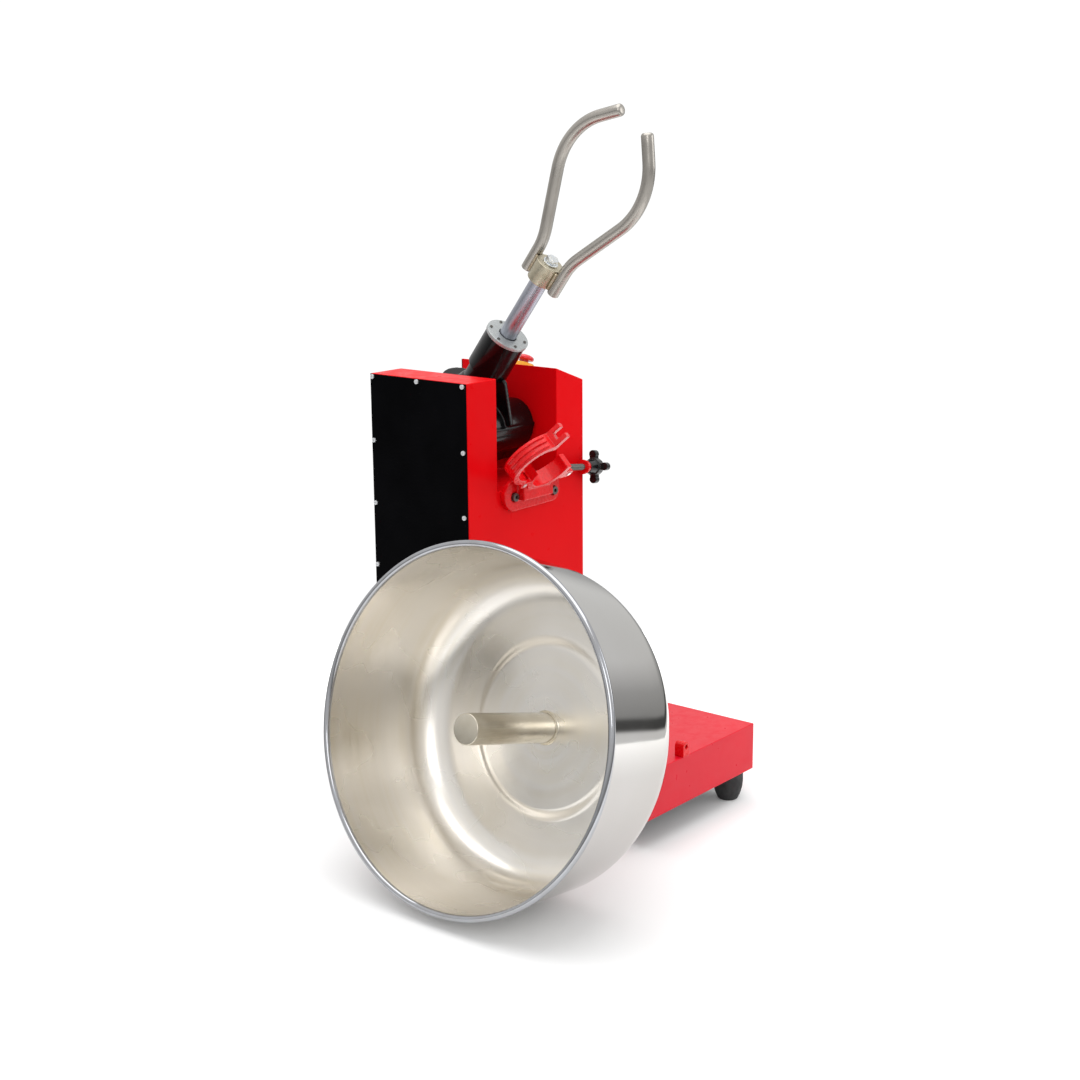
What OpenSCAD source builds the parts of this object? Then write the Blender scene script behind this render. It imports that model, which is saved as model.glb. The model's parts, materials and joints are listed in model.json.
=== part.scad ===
// Fork dough mixer: a narrow cabinet on a long base, a head that tilts between two cheeks,
// an inclined shaft with a two-pronged fork, a hinged tube clamp and a loose bowl that turns
// on its own foot.
//
// Frame: +X is the operator's right, -Y is the front, +Z is up. Every shape is drawn about
// the cabinet's middle (x = 0) and front face (y = 0), then moved by place() so that the
// origin is the middle of the floor area that the mixer and its bowl cover.

/* [Cabinet] */
// Width of the cabinet and of the base
body_w = 300; // [290:1:310]
// Depth of the cabinet, front face to back edge
body_d = 213; // [208:1:225]
// Height of the cabinet's left cheek
body_h = 700; // [690:1:710]
// Fall of the right cheek's top, which carries the controls
panel_fall = 27; // [20:1:34]
// Width of the notch between the cheeks
notch_w = 155; // [150:1:160]
// Height of the notch floor
notch_z = 513; // [508:1:516]
// Thickness of the painted sheet
sheet = 3; // [2:0.5:4]

/* [Base and feet] */
// How far the base reaches in front of the cabinet
base_reach = 360; // [340:1:380]
// Height of the top of the base
base_top = 127.4; // [125:0.1:130]
// Height of the rubber feet
foot_h = 48; // [44:1:52]
// Diameter of a foot where it meets the base
foot_d = 50; // [44:1:54]

/* [Tilting head] */
// Height of the head's pivot
pivot_z = 600; // [596:1:604]
// Distance of the pivot behind the cabinet's front face
pivot_y = 88; // [84:1:92]
// Lean of the fork shaft from vertical when the head is up
lean = 37; // [34:1:40]
// Distance between the worm's axis and the fork shaft's axis
gear_gap = 58.8; // [58.8:0.1:59.4]
// Length of the shaft axis from the worm wheel to the flange face
tube_reach = 158; // [154:1:162]
// Diameter of the bearing tube
tube_d = 72; // [68:1:73]
// Diameter of the fork shaft
shaft_d = 30; // [28:1:32]

/* [Fork] */
// Diameter of the fork's bars
bar_d = 20; // [16:1:22]
// Distance from the flange face to the lower end of the bars
fork_start = 114; // [108:1:120]
// Turn of the fork about its shaft at rest
fork_turn = -89; // [-100:1:-60]

/* [Bowl] */
// Depth of the bowl
bowl_h = 208; // [200:1:210]
// Outer radius of the wall just above the bottom corner
bowl_r = 244.5; // [240:0.5:246]
// Radius of the bottom corner
corner_r = 59; // [50:1:62]
// Outward lean of the wall
wall_lean = 6.6; // [4:0.1:7]
// Thickness of the bowl's steel
bowl_t = 2; // [1.5:0.5:3]
// Diameter of the centre post
post_d = 46; // [40:1:50]
// Tilt of the bowl's axis above the floor where it lies
bowl_tilt = 14.8; // [13:0.1:16]
// Left offset of the bowl's seat on the base
seat_x = -127; // [-130:1:-126]
// Distance of the bowl's seat in front of the cabinet
seat_y = -278; // [-282:1:-276]

/* [Clamp] */
// Slope of the fork shaft below level when the head is down
low_slope = 45; // [45:1:45]
// Inner radius of the clamp
clamp_r = 38.5; // [38.3:0.1:39.5]
// Angle by which the strap stands open
strap_open = 74; // [70:1:78]
// Droop of the loose swing bolt below the line across the clamp
bolt_droop = 13; // [8:0.5:14]

/* [Hidden] */
$fn = 72;

half_w = body_w / 2;
half_n = notch_w / 2;
panel_z = body_h - panel_fall;
panel_angle = atan(panel_fall / (half_w - half_n));

// Shaft axis: its foot below the pivot, and the middle of the flange face
wheel_y = pivot_y + gear_gap * cos(lean);
wheel_z = pivot_z + gear_gap * sin(lean);
flange_y = wheel_y - tube_reach * sin(lean);
flange_z = wheel_z + tube_reach * cos(lean);
head_swing = 90 - lean + low_slope;

// Clamp plane: square to the lowered shaft, where that shaft is clamp_out before the cabinet
clamp_out = 44;
low_y = pivot_y - gear_gap * sin(low_slope);
low_z = pivot_z + gear_gap * cos(low_slope);
clamp_z = low_z - (low_y + clamp_out) * tan(low_slope);
hinge_a = -50;
hinge_b = -25;
lug_a = 62;
lug_b = -22;
jaw_w = 28;
bolt_r = 5;
knob_base = 78;
knob_h = 43;
knob_tip_r = 8;

// Worm drive: worm_starts threads drive wheel_teeth teeth
gear_module = 2.5;
wheel_teeth = 32;
worm_starts = 2;
gear_pitch = PI * gear_module;
wheel_r = gear_module * wheel_teeth / 2;
worm_r = gear_gap - wheel_r;
wheel_w = 16;
worm_lead = gear_pitch * worm_starts;
lead_angle = atan(worm_lead / (2 * PI * worm_r));

// Belt drive in the left cheek
belt_x = -118;
motor_y = 106;
motor_z = 330;
big_pulley_r = 75;
small_pulley_r = 35;
belt_w = 12;
belt_gap = 0.5;
belt_t = 6;
belt_span = sqrt(pow(pivot_y - motor_y, 2) + pow(pivot_z - motor_z, 2));
belt_lean = atan2(motor_y - pivot_y, pivot_z - motor_z);

// Bowl: profile radii, resting place and seat
corner_in = bowl_r - corner_r * cos(wall_lean);
rim_r = bowl_r + (bowl_h - corner_r * (1 - sin(wall_lean))) * tan(wall_lean);
bead_r = 5;
bowl_z = corner_r + corner_in * cos(bowl_tilt) - corner_r * sin(bowl_tilt);
bowl_x = -290;
seat_z = base_top + 30;
seat_plate_h = 6;
seat_boss_h = 10;
seat_boss_r = 18;
foot_drop = 23.5;
step_r = 132;
step_h = 6;
post_short = 16.5;
spindle_r = 12.5;
lug_x = -50;
lug_y = -354;

// Controls on the sloped panel
gland_h = 14;
estop_x = 112;
estop_y = 104;
start_y = 160;

// Screw places
cover_rows = [695, 588, 481, 374, 267, 160];
cover_y = [7, body_d - 6];
pad_bolts = [[-46, 500], [56, 495]];
foot_places = [[-116, -285], [116, -333], [-116, 186], [116, 186]];

// Extents of the whole mixer, from which the origin is taken
low_x = bowl_x - (bowl_h - bead_r) * cos(bowl_tilt) - rim_r * sin(bowl_tilt) - bead_r;
high_x = lug_a + (knob_base + knob_h) * cos(bolt_droop) + knob_tip_r * sin(bolt_droop);
front_y = seat_y - rim_r - bead_r;
rear_y = body_d + 2 + gland_h;
origin_x = (low_x + high_x) / 2;
origin_y = (front_y + rear_y) / 2;

// ---- placing -------------------------------------------------------------------------

module place() {
    translate([-origin_x, -origin_y, 0]) children();
}

// Local +Z runs up the fork shaft from the middle of the flange face
module on_shaft() {
    place() translate([0, flange_y, flange_z]) rotate([lean, 0, 0]) children();
}

// Local +Z runs along the pivot, towards +X
module on_pivot() {
    place() translate([0, pivot_y, pivot_z]) rotate([0, 90, 0]) children();
}

// Local X runs across the clamp, local Z down the lowered shaft
module on_clamp() {
    place() translate([0, -clamp_out, clamp_z]) rotate([90 + low_slope, 0, 0]) children();
}

// Local X runs along the loose swing bolt from its pin
module on_bolt() {
    on_clamp() translate([lug_a, lug_b, 0]) rotate([0, 0, -bolt_droop]) rotate([0, 90, 0])
        children();
}

// Local +Z runs up the bowl's axis from the middle of its bottom
module on_bowl() {
    place() translate([bowl_x, seat_y, bowl_z]) rotate([0, bowl_tilt - 90, 0]) children();
}

// Local +Z is square to the sloped control panel
module on_panel(y) {
    place() translate([estop_x, y, body_h - (estop_x - half_n) * tan(panel_angle)])
        rotate([0, panel_angle, 0]) children();
}

// ---- shared shapes -------------------------------------------------------------------

module block(low, high) {
    translate(low) cube(high - low);
}

module ring(outer, inner, h) {
    difference() {
        cylinder(r = outer, h = h);
        translate([0, 0, -1]) cylinder(r = inner, h = h + 2);
    }
}

// A pan head with a cross recess, its top towards +Z
module pan_head(r, h) {
    difference() {
        cylinder(r = r, h = h, $fn = 28);
        for (turn = [0, 90]) rotate([0, 0, turn]) translate([-r * 0.55, -r * 0.13, h * 0.5])
            cube([r * 1.1, r * 0.26, h]);
    }
}

// A socket screw: head from z = 0 up, shank down
module socket_screw(head_r, head_h, shank_r, shank_h) {
    difference() {
        cylinder(r = head_r, h = head_h, $fn = 32);
        translate([0, 0, head_h * 0.4]) cylinder(r = head_r * 0.5, h = head_h, $fn = 6);
    }
    translate([0, 0, -shank_h]) cylinder(r = shank_r, h = shank_h + 0.01, $fn = 28);
}

// ---- base ----------------------------------------------------------------------------

module base_box() {
    color("#d81e28") place() {
        difference() {
            block([-half_w, -base_reach, foot_h], [half_w, body_d, base_top]);
            block([-half_w + sheet, -base_reach + sheet, foot_h - 1],
                [half_w - sheet, body_d - sheet, base_top - sheet]);
        }
        for (p = foot_places) translate([p[0], p[1], foot_h + 2.5])
            ring(15, 4.1, base_top - sheet - foot_h - 2.5);
    }
}

module base_plate() {
    edge = sheet + 0.2;
    color("#3c3e42") place() difference() {
        block([-half_w + edge, -base_reach + edge, foot_h],
            [half_w - edge, body_d - edge, foot_h + 2.5]);
        for (p = foot_places) translate([p[0], p[1], foot_h - 1])
            cylinder(r = 4.2, h = 5);
    }
}

module rubber_feet() {
    color("#161616") place() for (p = foot_places) translate([p[0], p[1], 0])
        rotate_extrude() polygon([[8.5, 0], [foot_d * 0.31, 0], [foot_d * 0.35, 2.5],
            [foot_d * 0.43, 12], [foot_d * 0.48, 22], [foot_d / 2, 32], [foot_d / 2, foot_h],
            [4.2, foot_h], [4.2, 22], [8.5, 22]]);
}

module foot_screws() {
    color("#b9bcc0") place() for (p = foot_places)
        translate([p[0], p[1], 21.9]) mirror([0, 0, 1]) socket_screw(7.5, 6, 4, 52);
}

// ---- cabinet -------------------------------------------------------------------------

// Front outline of the cabinet, drawn in by t; the bottom is lowered by drop
module cabinet_outline(t, drop) {
    side = half_w - t;
    cheek = half_n + t;
    slope = t / cos(panel_angle);
    polygon([[-side, base_top - drop], [side, base_top - drop],
        [side, panel_z - slope + t * tan(panel_angle)],
        [cheek, body_h - slope - t * tan(panel_angle)],
        [cheek, notch_z - t], [-cheek, notch_z - t], [-cheek, body_h - t], [-side, body_h - t]]);
}

module cabinet_shell() {
    color("#e0141e") place() difference() {
        translate([0, body_d, 0]) rotate([90, 0, 0]) linear_extrude(body_d)
            cabinet_outline(0, 0);
        translate([0, body_d + 1, 0]) rotate([90, 0, 0]) linear_extrude(body_d + 1 - sheet)
            cabinet_outline(sheet, 2);
        block([-half_w - 1, 15, base_top + 16], [-half_w + sheet + 1, body_d - 15, body_h - 16]);
        translate([-half_w, pivot_y, pivot_z]) rotate([0, 90, 0])
            translate([0, 0, 30]) cylinder(r = 30, h = body_w - 60);
        for (y = [estop_y, start_y])
            translate([estop_x, y, body_h - (estop_x - half_n) * tan(panel_angle)])
                rotate([0, panel_angle, 0]) translate([0, 0, -6]) cylinder(r = 11.2, h = 12);
        for (b = pad_bolts) translate([b[0], -1, b[1]]) rotate([-90, 0, 0])
            cylinder(r = 4.2, h = sheet + 2);
    }
}

module left_cover() {
    color("#101114") place() block([-half_w - 2, 0.5, base_top + 0.6],
        [-half_w, body_d - 0.5, body_h - 0.6]);
}

module left_cover_screws() {
    color("#d6d7d9") place() {
        for (z = cover_rows, y = cover_y) translate([-half_w - 2, y, z]) rotate([0, -90, 0])
            pan_head(3.8, 2.4);
        for (z = [cover_rows[0], cover_rows[len(cover_rows) - 1]])
            translate([-half_w - 2, body_d / 2, z]) rotate([0, -90, 0]) pan_head(3.8, 2.4);
    }
}

module rear_cover() {
    color("#101114") place() difference() {
        translate([0, body_d + 2, 0]) rotate([90, 0, 0]) linear_extrude(2)
            cabinet_outline(0.6, -1.2);
        for (i = [0:8]) translate([-60, body_d - 1, 250 + i * 16])
            cube([120, 4, 5]);
        translate([-95, body_d - 1, 190]) rotate([-90, 0, 0]) cylinder(r = 10.2, h = 4);
    }
}

module rear_cover_screws() {
    edge = half_w - 8;
    color("#d6d7d9") place() for (x = [-edge, edge], z = [150, 320, 490, 660])
        translate([x, body_d + 2, z]) rotate([-90, 0, 0]) pan_head(3.8, 2.4);
}

module bearing_plates() {
    gap = half_n + sheet;
    color("#8a8d92") place() for (side = [-1, 1]) difference() {
        translate([side < 0 ? -gap - 8 : gap, pivot_y - 48, pivot_z - 48]) cube([8, 96, 96]);
        translate([side * (gap + 4) - 10, pivot_y, pivot_z]) rotate([0, 90, 0])
            cylinder(r = 30, h = 20);
    }
}

module pivot_bushes() {
    color("#b58a3c") on_pivot() for (side = [0, 1]) mirror([0, 0, side])
        difference() {
            union() {
                translate([0, 0, half_n]) cylinder(r = 30, h = sheet + 8);
                translate([0, 0, half_n - 3]) cylinder(r = 36, h = 3);
            }
            translate([0, 0, half_n - 5]) cylinder(r = 26.06, h = 20);
        }
}

module pivot_caps() {
    color("#77797d") on_pivot() {
        mirror([0, 0, 1]) translate([0, 0, half_n + sheet + 8]) ring(33, 12, 4);
        translate([0, 0, half_n + sheet + 8]) cylinder(r = 33, h = 4);
    }
}

module control_box() {
    color("#2a2c30") place() {
        block([96, 60, 560], [144, 190, 640]);
        block([98, 66, 515], [140, 120, 559]);
    }
}

module estop_collar() {
    color("#f2b705") on_panel(estop_y) {
        difference() {
            union() {
                cylinder(r1 = 20, r2 = 18.5, h = 10);
                translate([0, 0, -14]) cylinder(r = 11, h = 14.5);
            }
            translate([0, 0, -15]) cylinder(r = 8.2, h = 26);
        }
    }
}

module estop_button() {
    color("#d8141c") on_panel(estop_y) {
        translate([0, 0, -10]) cylinder(r = 8, h = 27);
        translate([0, 0, 15]) rotate_extrude() polygon(concat([[0, 0], [15, 0], [16.5, 1.5]],
            [for (i = [0:6]) [3 + 13.5 * cos(i * 15), 4 + 6 * sin(i * 15)]], [[0, 10]]));
    }
}

module start_collar() {
    color("#202225") on_panel(start_y) difference() {
        union() {
            cylinder(r = 14.5, h = 3);
            translate([0, 0, -14]) cylinder(r = 11, h = 14.5);
        }
        translate([0, 0, -15]) cylinder(r = 9, h = 20);
    }
}

module start_button() {
    color("#1f9a4a") on_panel(start_y) translate([0, 0, -9]) cylinder(r = 8.7, h = 13);
}

module cable_gland() {
    color("#1b1c1f") place() translate([-95, body_d + 2, 190]) rotate([-90, 0, 0]) difference() {
        union() {
            translate([0, 0, -12]) cylinder(r = 10, h = 12.5);
            cylinder(r = 14, h = 5, $fn = 6);
            translate([0, 0, 5]) cylinder(r1 = 11.5, r2 = 9, h = gland_h - 5);
        }
        translate([0, 0, -13]) cylinder(r = 5, h = 30);
    }
}

// ---- motor and belt ------------------------------------------------------------------

module on_motor() {
    place() translate([0, motor_y, motor_z]) rotate([0, 90, 0]) children();
}

module motor() {
    color("#4f5459") on_motor() {
        difference() {
            union() {
                translate([0, 0, -50]) cylinder(r = 58, h = 130);
                for (i = [0:23]) rotate([0, 0, i * 15]) translate([56, -1.2, -44])
                    cube([8, 2.4, 118]);
                translate([0, 0, -58]) cylinder(r = 62, h = 8.01);
                translate([0, 0, 80]) cylinder(r = 60, h = 24);
            }
            translate([0, 0, -60]) cylinder(r = 9.8, h = 60);
        }
    }
}

module motor_bracket() {
    low = motor_z - 72;
    color("#3b3d40") place() difference() {
        union() {
            block([-70, 30, low], [147, 180, low + 5]);
            block([-64, 30, low], [-58, 180, motor_z + 40]);
        }
        translate([-80, motor_y, motor_z]) rotate([0, 90, 0]) cylinder(r = 30, h = 30);
    }
}

module motor_pulley() {
    color("#9a9da2") on_motor() {
        translate([0, 0, belt_x - belt_w / 2 - 4]) cylinder(r = small_pulley_r + 8, h = 3);
        translate([0, 0, belt_x - belt_w / 2 - 2]) cylinder(r = small_pulley_r, h = belt_w + 4);
        translate([0, 0, belt_x + belt_w / 2 + 1]) cylinder(r = small_pulley_r + 8, h = 3);
        translate([0, 0, belt_x]) cylinder(r = 9.5, h = -belt_x - 20);
    }
}

// Outline of a taut belt that lies extra above both pulleys' rims
module belt_outline(extra) {
    hull() {
        circle(r = big_pulley_r + extra);
        translate([0, -belt_span]) circle(r = small_pulley_r + extra);
    }
}

module drive_belt() {
    color("#1a1a1b") place() translate([belt_x - belt_w / 2, pivot_y, pivot_z])
        rotate([belt_lean, 0, 0]) rotate([90, 0, 90]) linear_extrude(belt_w) difference() {
            belt_outline(belt_gap + belt_t);
            belt_outline(belt_gap);
        }
}

module drive_pulley() {
    color("#9a9da2") on_pivot() difference() {
        union() {
            translate([0, 0, belt_x - belt_w / 2 - 4])
                cylinder(r = big_pulley_r + 8, h = 3);
            translate([0, 0, belt_x - belt_w / 2 - 2])
                cylinder(r = big_pulley_r, h = belt_w + 4);
            translate([0, 0, belt_x + belt_w / 2 + 1])
                cylinder(r = big_pulley_r + 8, h = 3);
        }
        translate([0, 0, belt_x - 20]) cylinder(r = 9.95, h = 50);
        for (i = [0:4]) rotate([0, 0, i * 72]) translate([45, 0, belt_x - 20])
            cylinder(r = 16, h = 50);
    }
}

// ---- head ----------------------------------------------------------------------------

module drive_shaft() {
    color("#c4c6c9") on_pivot() translate([0, 0, belt_x - 12]) cylinder(r = 9.95, h = 180);
}

// One thread of the worm: a four-sided ridge swept along a helix
module worm_thread(turn) {
    root = 15.5;
    tip = 21;
    per_turn = 24;
    steps = round(48 / worm_lead * per_turn);
    section = [[root, -2.7], [root, 2.7], [tip, 0.77], [tip, -0.77]];
    points = [for (i = [0:steps]) let (angle = 360 * i / per_turn, along = worm_lead * i / per_turn)
        for (s = section) [s[0] * cos(angle + turn), s[0] * sin(angle + turn), along + s[1]]];
    sides = [for (i = [0:steps - 1], k = [0:3]) let (a = i * 4 + k, b = i * 4 + (k + 1) % 4)
        [a, a + 4, b + 4, b]];
    ends = [[0, 1, 2, 3], [for (k = [3:-1:0]) steps * 4 + k]];
    polyhedron(points = points, faces = concat(sides, ends), convexity = 8);
}

module worm() {
    // mesh_turn sets the threads in the middle of the wheel's tooth gaps
    half = 24;
    mesh_turn = 180 + lean + 67;
    color("#b8bbbf") on_pivot() difference() {
        union() {
            translate([0, 0, -29]) cylinder(r = 15.8, h = 58);
            for (k = [0:worm_starts - 1]) translate([0, 0, -half])
                worm_thread(mesh_turn + half / worm_lead * 360 + k * 360 / worm_starts);
        }
        translate([0, 0, -40]) cylinder(r = 9.95, h = 80);
    }
}

module worm_bearings() {
    color("#caccd0") on_pivot() for (z = [-84, 44]) translate([0, 0, z]) ring(21, 10, 12);
}

module worm_wheel() {
    tooth = 360 / wheel_teeth;
    root = gear_gap - 21.6;
    tip = wheel_r + 2.3;
    color("#b98a3a") on_shaft() translate([0, 0, -tube_reach]) difference() {
        union() {
            translate([0, 0, -wheel_w / 2]) cylinder(r = root + 0.05, h = wheel_w);
            translate([0, 0, wheel_w / 2 - 0.01]) cylinder(r = 26, h = 5);
            for (i = [0:wheel_teeth - 1]) rotate([-lead_angle, 0, -90 + (i + 0.5) * tooth])
                translate([0, 0, -wheel_w / 2]) linear_extrude(wheel_w) polygon([
                    [root - 1, -2.9], [wheel_r, -1.6], [tip, -0.8],
                    [tip, 0.8], [wheel_r, 1.6], [root - 1, 2.9]]);
        }
        translate([0, 0, -wheel_w]) cylinder(r = 14.95, h = 3 * wheel_w);
    }
}

// Outer solid of the head: gear housing, worm drum, neck and web
module head_body() {
    on_shaft() {
        translate([0, 0, -tube_reach - 30]) cylinder(r = 62, h = 60);
        translate([0, 0, -tube_reach + 29]) cylinder(r1 = 44, r2 = 33, h = 24);
        translate([0, 0, -tube_reach + 29]) cylinder(r = 31, h = 53.9);
    }
    on_pivot() {
        translate([0, 0, -70]) cylinder(r = 44, h = 140);
        translate([0, 0, -88]) cylinder(r = 26, h = 176);
    }
    place() {
        // Keel of the drum, with its edge across the front
        translate([-70, 0, 0]) rotate([90, 0, 90]) linear_extrude(140) polygon([
            [pivot_y - 47, pivot_z + 3], [pivot_y - 44, pivot_z - 6], [pivot_y + 6, pivot_z - 62],
            [pivot_y + 34, pivot_z - 66], [pivot_y + 44, pivot_z], [pivot_y - 20, pivot_z + 38]]);
        // Web between the tube and the drum
        translate([-4, 0, 0]) rotate([90, 0, 90]) linear_extrude(8) polygon([
            [pivot_y - 42, pivot_z + 80], [pivot_y - 55, pivot_z + 10], [pivot_y - 30, pivot_z],
            [pivot_y + 20, pivot_z + 40], [pivot_y - 20, pivot_z + 104]]);
    }
}

module head_casting() {
    color("#0b0b0d") difference() {
        head_body();
        on_shaft() {
            translate([0, 0, -tube_reach - 31]) cylinder(r = 46, h = 45);
            translate([0, 0, -tube_reach]) cylinder(r = 24, h = 100);
            translate([0, 0, -tube_reach - 70]) cylinder(r = 62.5, h = 40);
            translate([0, 0, -75]) cylinder(r = tube_d / 2, h = 75);
        }
        on_pivot() {
            translate([0, 0, -100]) cylinder(r = 21, h = 156);
            translate([0, 0, -34]) cylinder(r = 24, h = 68);
        }
    }
}

module gearbox_cover() {
    color("#0b0b0d") on_shaft() translate([0, 0, -tube_reach - 38]) {
        cylinder(r = 62, h = 8);
        translate([0, 0, 8]) ring(45.8, 30, 6);
    }
}

module gearbox_screws() {
    color("#b9bcc0") on_shaft() for (i = [0:5]) rotate([0, 0, i * 60 + 30])
        translate([54, 0, -tube_reach - 38]) rotate([180, 0, 0]) pan_head(4.5, 3);
}

module bearing_tube() {
    color("#0b0b0d") on_shaft() translate([0, 0, -75]) difference() {
        cylinder(r = tube_d / 2, h = 69);
        translate([0, 0, -1]) cylinder(r = 27.5, h = 80);
    }
}

module shaft_bearings() {
    color("#caccd0") on_shaft() for (z = [-74, -26]) translate([0, 0, z])
        ring(27.5, shaft_d / 2 + 0.03, 14);
}

module bearing_flange() {
    color("#c9cbce") on_shaft() translate([0, 0, -6]) ring(37.5, shaft_d / 2 + 1, 6);
}

module flange_screws() {
    color("#8d9095") on_shaft() for (i = [0:5]) rotate([0, 0, i * 60 + 12])
        translate([31, 0, 0]) pan_head(2.6, 1.4);
}

module shaft_seal() {
    color("#26262a") on_shaft() translate([0, 0, -11.5]) ring(27.5, shaft_d / 2 + 0.4, 5.5);
}

// ---- fork ----------------------------------------------------------------------------

module fork_shaft() {
    color("#d5d6da") on_shaft() {
        translate([0, 0, -tube_reach - 20]) cylinder(r = 14.95, h = 70);
        translate([0, 0, -tube_reach + 49]) cylinder(r = shaft_d / 2, h = tube_reach + 94);
    }
}

hub_low = fork_start + 2;
hub_top = fork_start + 38;

module fork_hub() {
    color("#a9a59b") on_shaft() translate([0, 0, hub_low]) difference() {
        cylinder(r = 23, h = hub_top - hub_low);
        translate([0, 0, -1]) cylinder(r = shaft_d / 2, h = 143 - hub_low + 1);
        cylinder(r = 6.2, h = 60);
    }
}

// One point of a bar's centreline is [x, z, heading], the heading being out from local Z
function straight(p, length) = [p[0] + length * sin(p[2]), p[1] + length * cos(p[2]), p[2]];
function bend(p, radius, turn) = [p[0] + sign(turn) * radius * (cos(p[2]) - cos(p[2] + turn)),
    p[1] + sign(turn) * radius * (sin(p[2] + turn) - sin(p[2])), p[2] + turn];

// Centreline: straight, bent out, straight, bent in, straight
bar_low = straight([0, 0, 0], 41);
bar_out = bend(bar_low, 100, 22);
bar_mid = straight(bar_out, 97);
bar_in = bend(bar_mid, 112, -63);
bar_path = concat([[0, 0, 0]], [for (i = [0:5]) bend(bar_low, 100, 22 * i / 5)],
    [for (i = [0:13]) bend(bar_mid, 112, -63 * i / 13)], [straight(bar_in, 40)]);

module bent_bar() {
    sides = 24;
    rings = concat([for (p = bar_path) [p, bar_d / 2]], [[straight(bar_in, 43), bar_d / 2 - 3]]);
    last = len(rings) - 1;
    points = [for (ring = rings, k = [0:sides - 1]) let (p = ring[0], a = 360 * k / sides)
        [p[0] + ring[1] * cos(a) * cos(p[2]), ring[1] * sin(a),
            p[1] - ring[1] * cos(a) * sin(p[2])]];
    walls = [for (i = [0:last - 1], k = [0:sides - 1]) let (n = (k + 1) % sides)
        [i * sides + k, (i + 1) * sides + k, (i + 1) * sides + n, i * sides + n]];
    ends = [[for (k = [0:sides - 1]) k], [for (k = [sides - 1:-1:0]) last * sides + k]];
    polyhedron(points = points, faces = concat(walls, ends), convexity = 6);
}

module fork_prong_lower() {
    color("#a9a59b") on_shaft() rotate([0, 0, fork_turn])
        translate([23 + bar_d / 2, 0, fork_start]) bent_bar();
}

module fork_prong_upper() {
    color("#a9a59b") on_shaft() rotate([0, 0, fork_turn + 180])
        translate([23 + bar_d / 2, 0, fork_start]) bent_bar();
}

module fork_washer() {
    color("#c2c4c8") on_shaft() translate([0, 0, hub_top]) ring(13, 6.2, 2.5);
}

module fork_screw() {
    color("#cfd1d4") on_shaft() {
        translate([0, 0, hub_top + 2.5]) cylinder(r = 10.5, h = 8, $fn = 6);
        translate([0, 0, 143]) cylinder(r = 6, h = hub_top + 2.6 - 143);
    }
}

// ---- clamp ---------------------------------------------------------------------------

module ear(a, b, r, z0, z1) {
    translate([a, b, z0]) cylinder(r = r, h = z1 - z0);
}

// Rounded plate on the cabinet's front face, below the notch
module clamp_pad() {
    place() rotate([90, 0, 0]) linear_extrude(10) union() {
        translate([-45, 502]) circle(r = 26);
        translate([52, 497]) circle(r = 20);
        polygon([[-47.5, 476.2], [50, 477.2], [71, 492], [71.5, 512], [-71, 512], [-71, 500]]);
    }
}

module clamp_saddle() {
    color("#e5101c") difference() {
        union() {
            clamp_pad();
            difference() {
                union() {
                    on_clamp() translate([0, 0, -jaw_w / 2]) cylinder(r = 50, h = jaw_w);
                    // Web from the ring down to the pad
                    place() block([-38, -24, 494], [38, 0, 526]);
                }
                place() block([-60, 0, 480], [60, 60, notch_z + 0.6]);
                on_clamp() block([-60, 2, -40], [60, 90, 80]);
            }
            on_clamp() {
                ear(hinge_a - 1, hinge_b, 9, -jaw_w / 2, jaw_w / 2);
                ear(lug_a, lug_b, 9, -jaw_w / 2, jaw_w / 2);
                block([42, lug_b - 9, -jaw_w / 2], [lug_a, lug_b + 9, jaw_w / 2]);
            }
        }
        on_clamp() {
            translate([0, 0, -60]) cylinder(r = clamp_r, h = 120);
            // Slots for the strap's eye and for the swing bolt
            ear(hinge_a - 1, hinge_b, 12.5, -7, 7);
            block([-80, hinge_b + 7, -jaw_w], [-39, 60, jaw_w]);
            block([lug_a - 11, lug_b - 12, -6], [lug_a + 30, lug_b + 30, 6]);
            translate([hinge_a - 1, hinge_b, -30]) cylinder(r = 4, h = 60);
            translate([lug_a, lug_b, -30]) cylinder(r = 4, h = 60);
        }
        place() for (b = pad_bolts) translate([b[0], 1, b[1]]) rotate([90, 0, 0]) {
            translate([0, 0, -1]) cylinder(r = 4.2, h = 20);
            translate([0, 0, 8]) cylinder(r = 8.5, h = 50);
        }
    }
}

module clamp_bolts() {
    color("#6d7075") place() for (b = pad_bolts) translate([b[0], -7, b[1]])
        rotate([90, 0, 0]) socket_screw(7, 7, 4, 20);
}

// The strap is drawn shut about the tube, then swung open about its pin
module strap_swing() {
    on_clamp() translate([hinge_a - 1, hinge_b, 0]) rotate([0, 0, strap_open])
        translate([1 - hinge_a, -hinge_b, 0]) children();
}

module clamp_strap() {
    color("#e5101c") strap_swing() difference() {
        union() {
            difference() {
                translate([0, 0, -jaw_w / 2]) cylinder(r = 50, h = jaw_w);
                block([-70, -60, -30], [70, 4, 30]);
            }
            // Shank down to the pin
            block([-50, -16, -jaw_w / 2], [-39.5, 6, jaw_w / 2]);
            block([-57, hinge_b, -6], [-43, -14, 6]);
            ear(hinge_a - 1, hinge_b, 9, -6, 6);
            // Raised ribs over the crown
            for (w = [-9, 0, 9]) difference() {
                translate([0, 0, w - 1.5]) cylinder(r = 53, h = 3);
                block([-70, -60, -30], [-26, 60, 30]);
                block([-70, -60, -30], [70, 26, 30]);
            }
            // Forked end
            block([39.5, 4, -jaw_w / 2], [74, 16, jaw_w / 2]);
        }
        translate([0, 0, -60]) cylinder(r = clamp_r + 0.6, h = 120);
        block([56, 0, -6], [90, 20, 6]);
        translate([hinge_a - 1, hinge_b, -30]) cylinder(r = 4.05, h = 60);
    }
}

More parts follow.
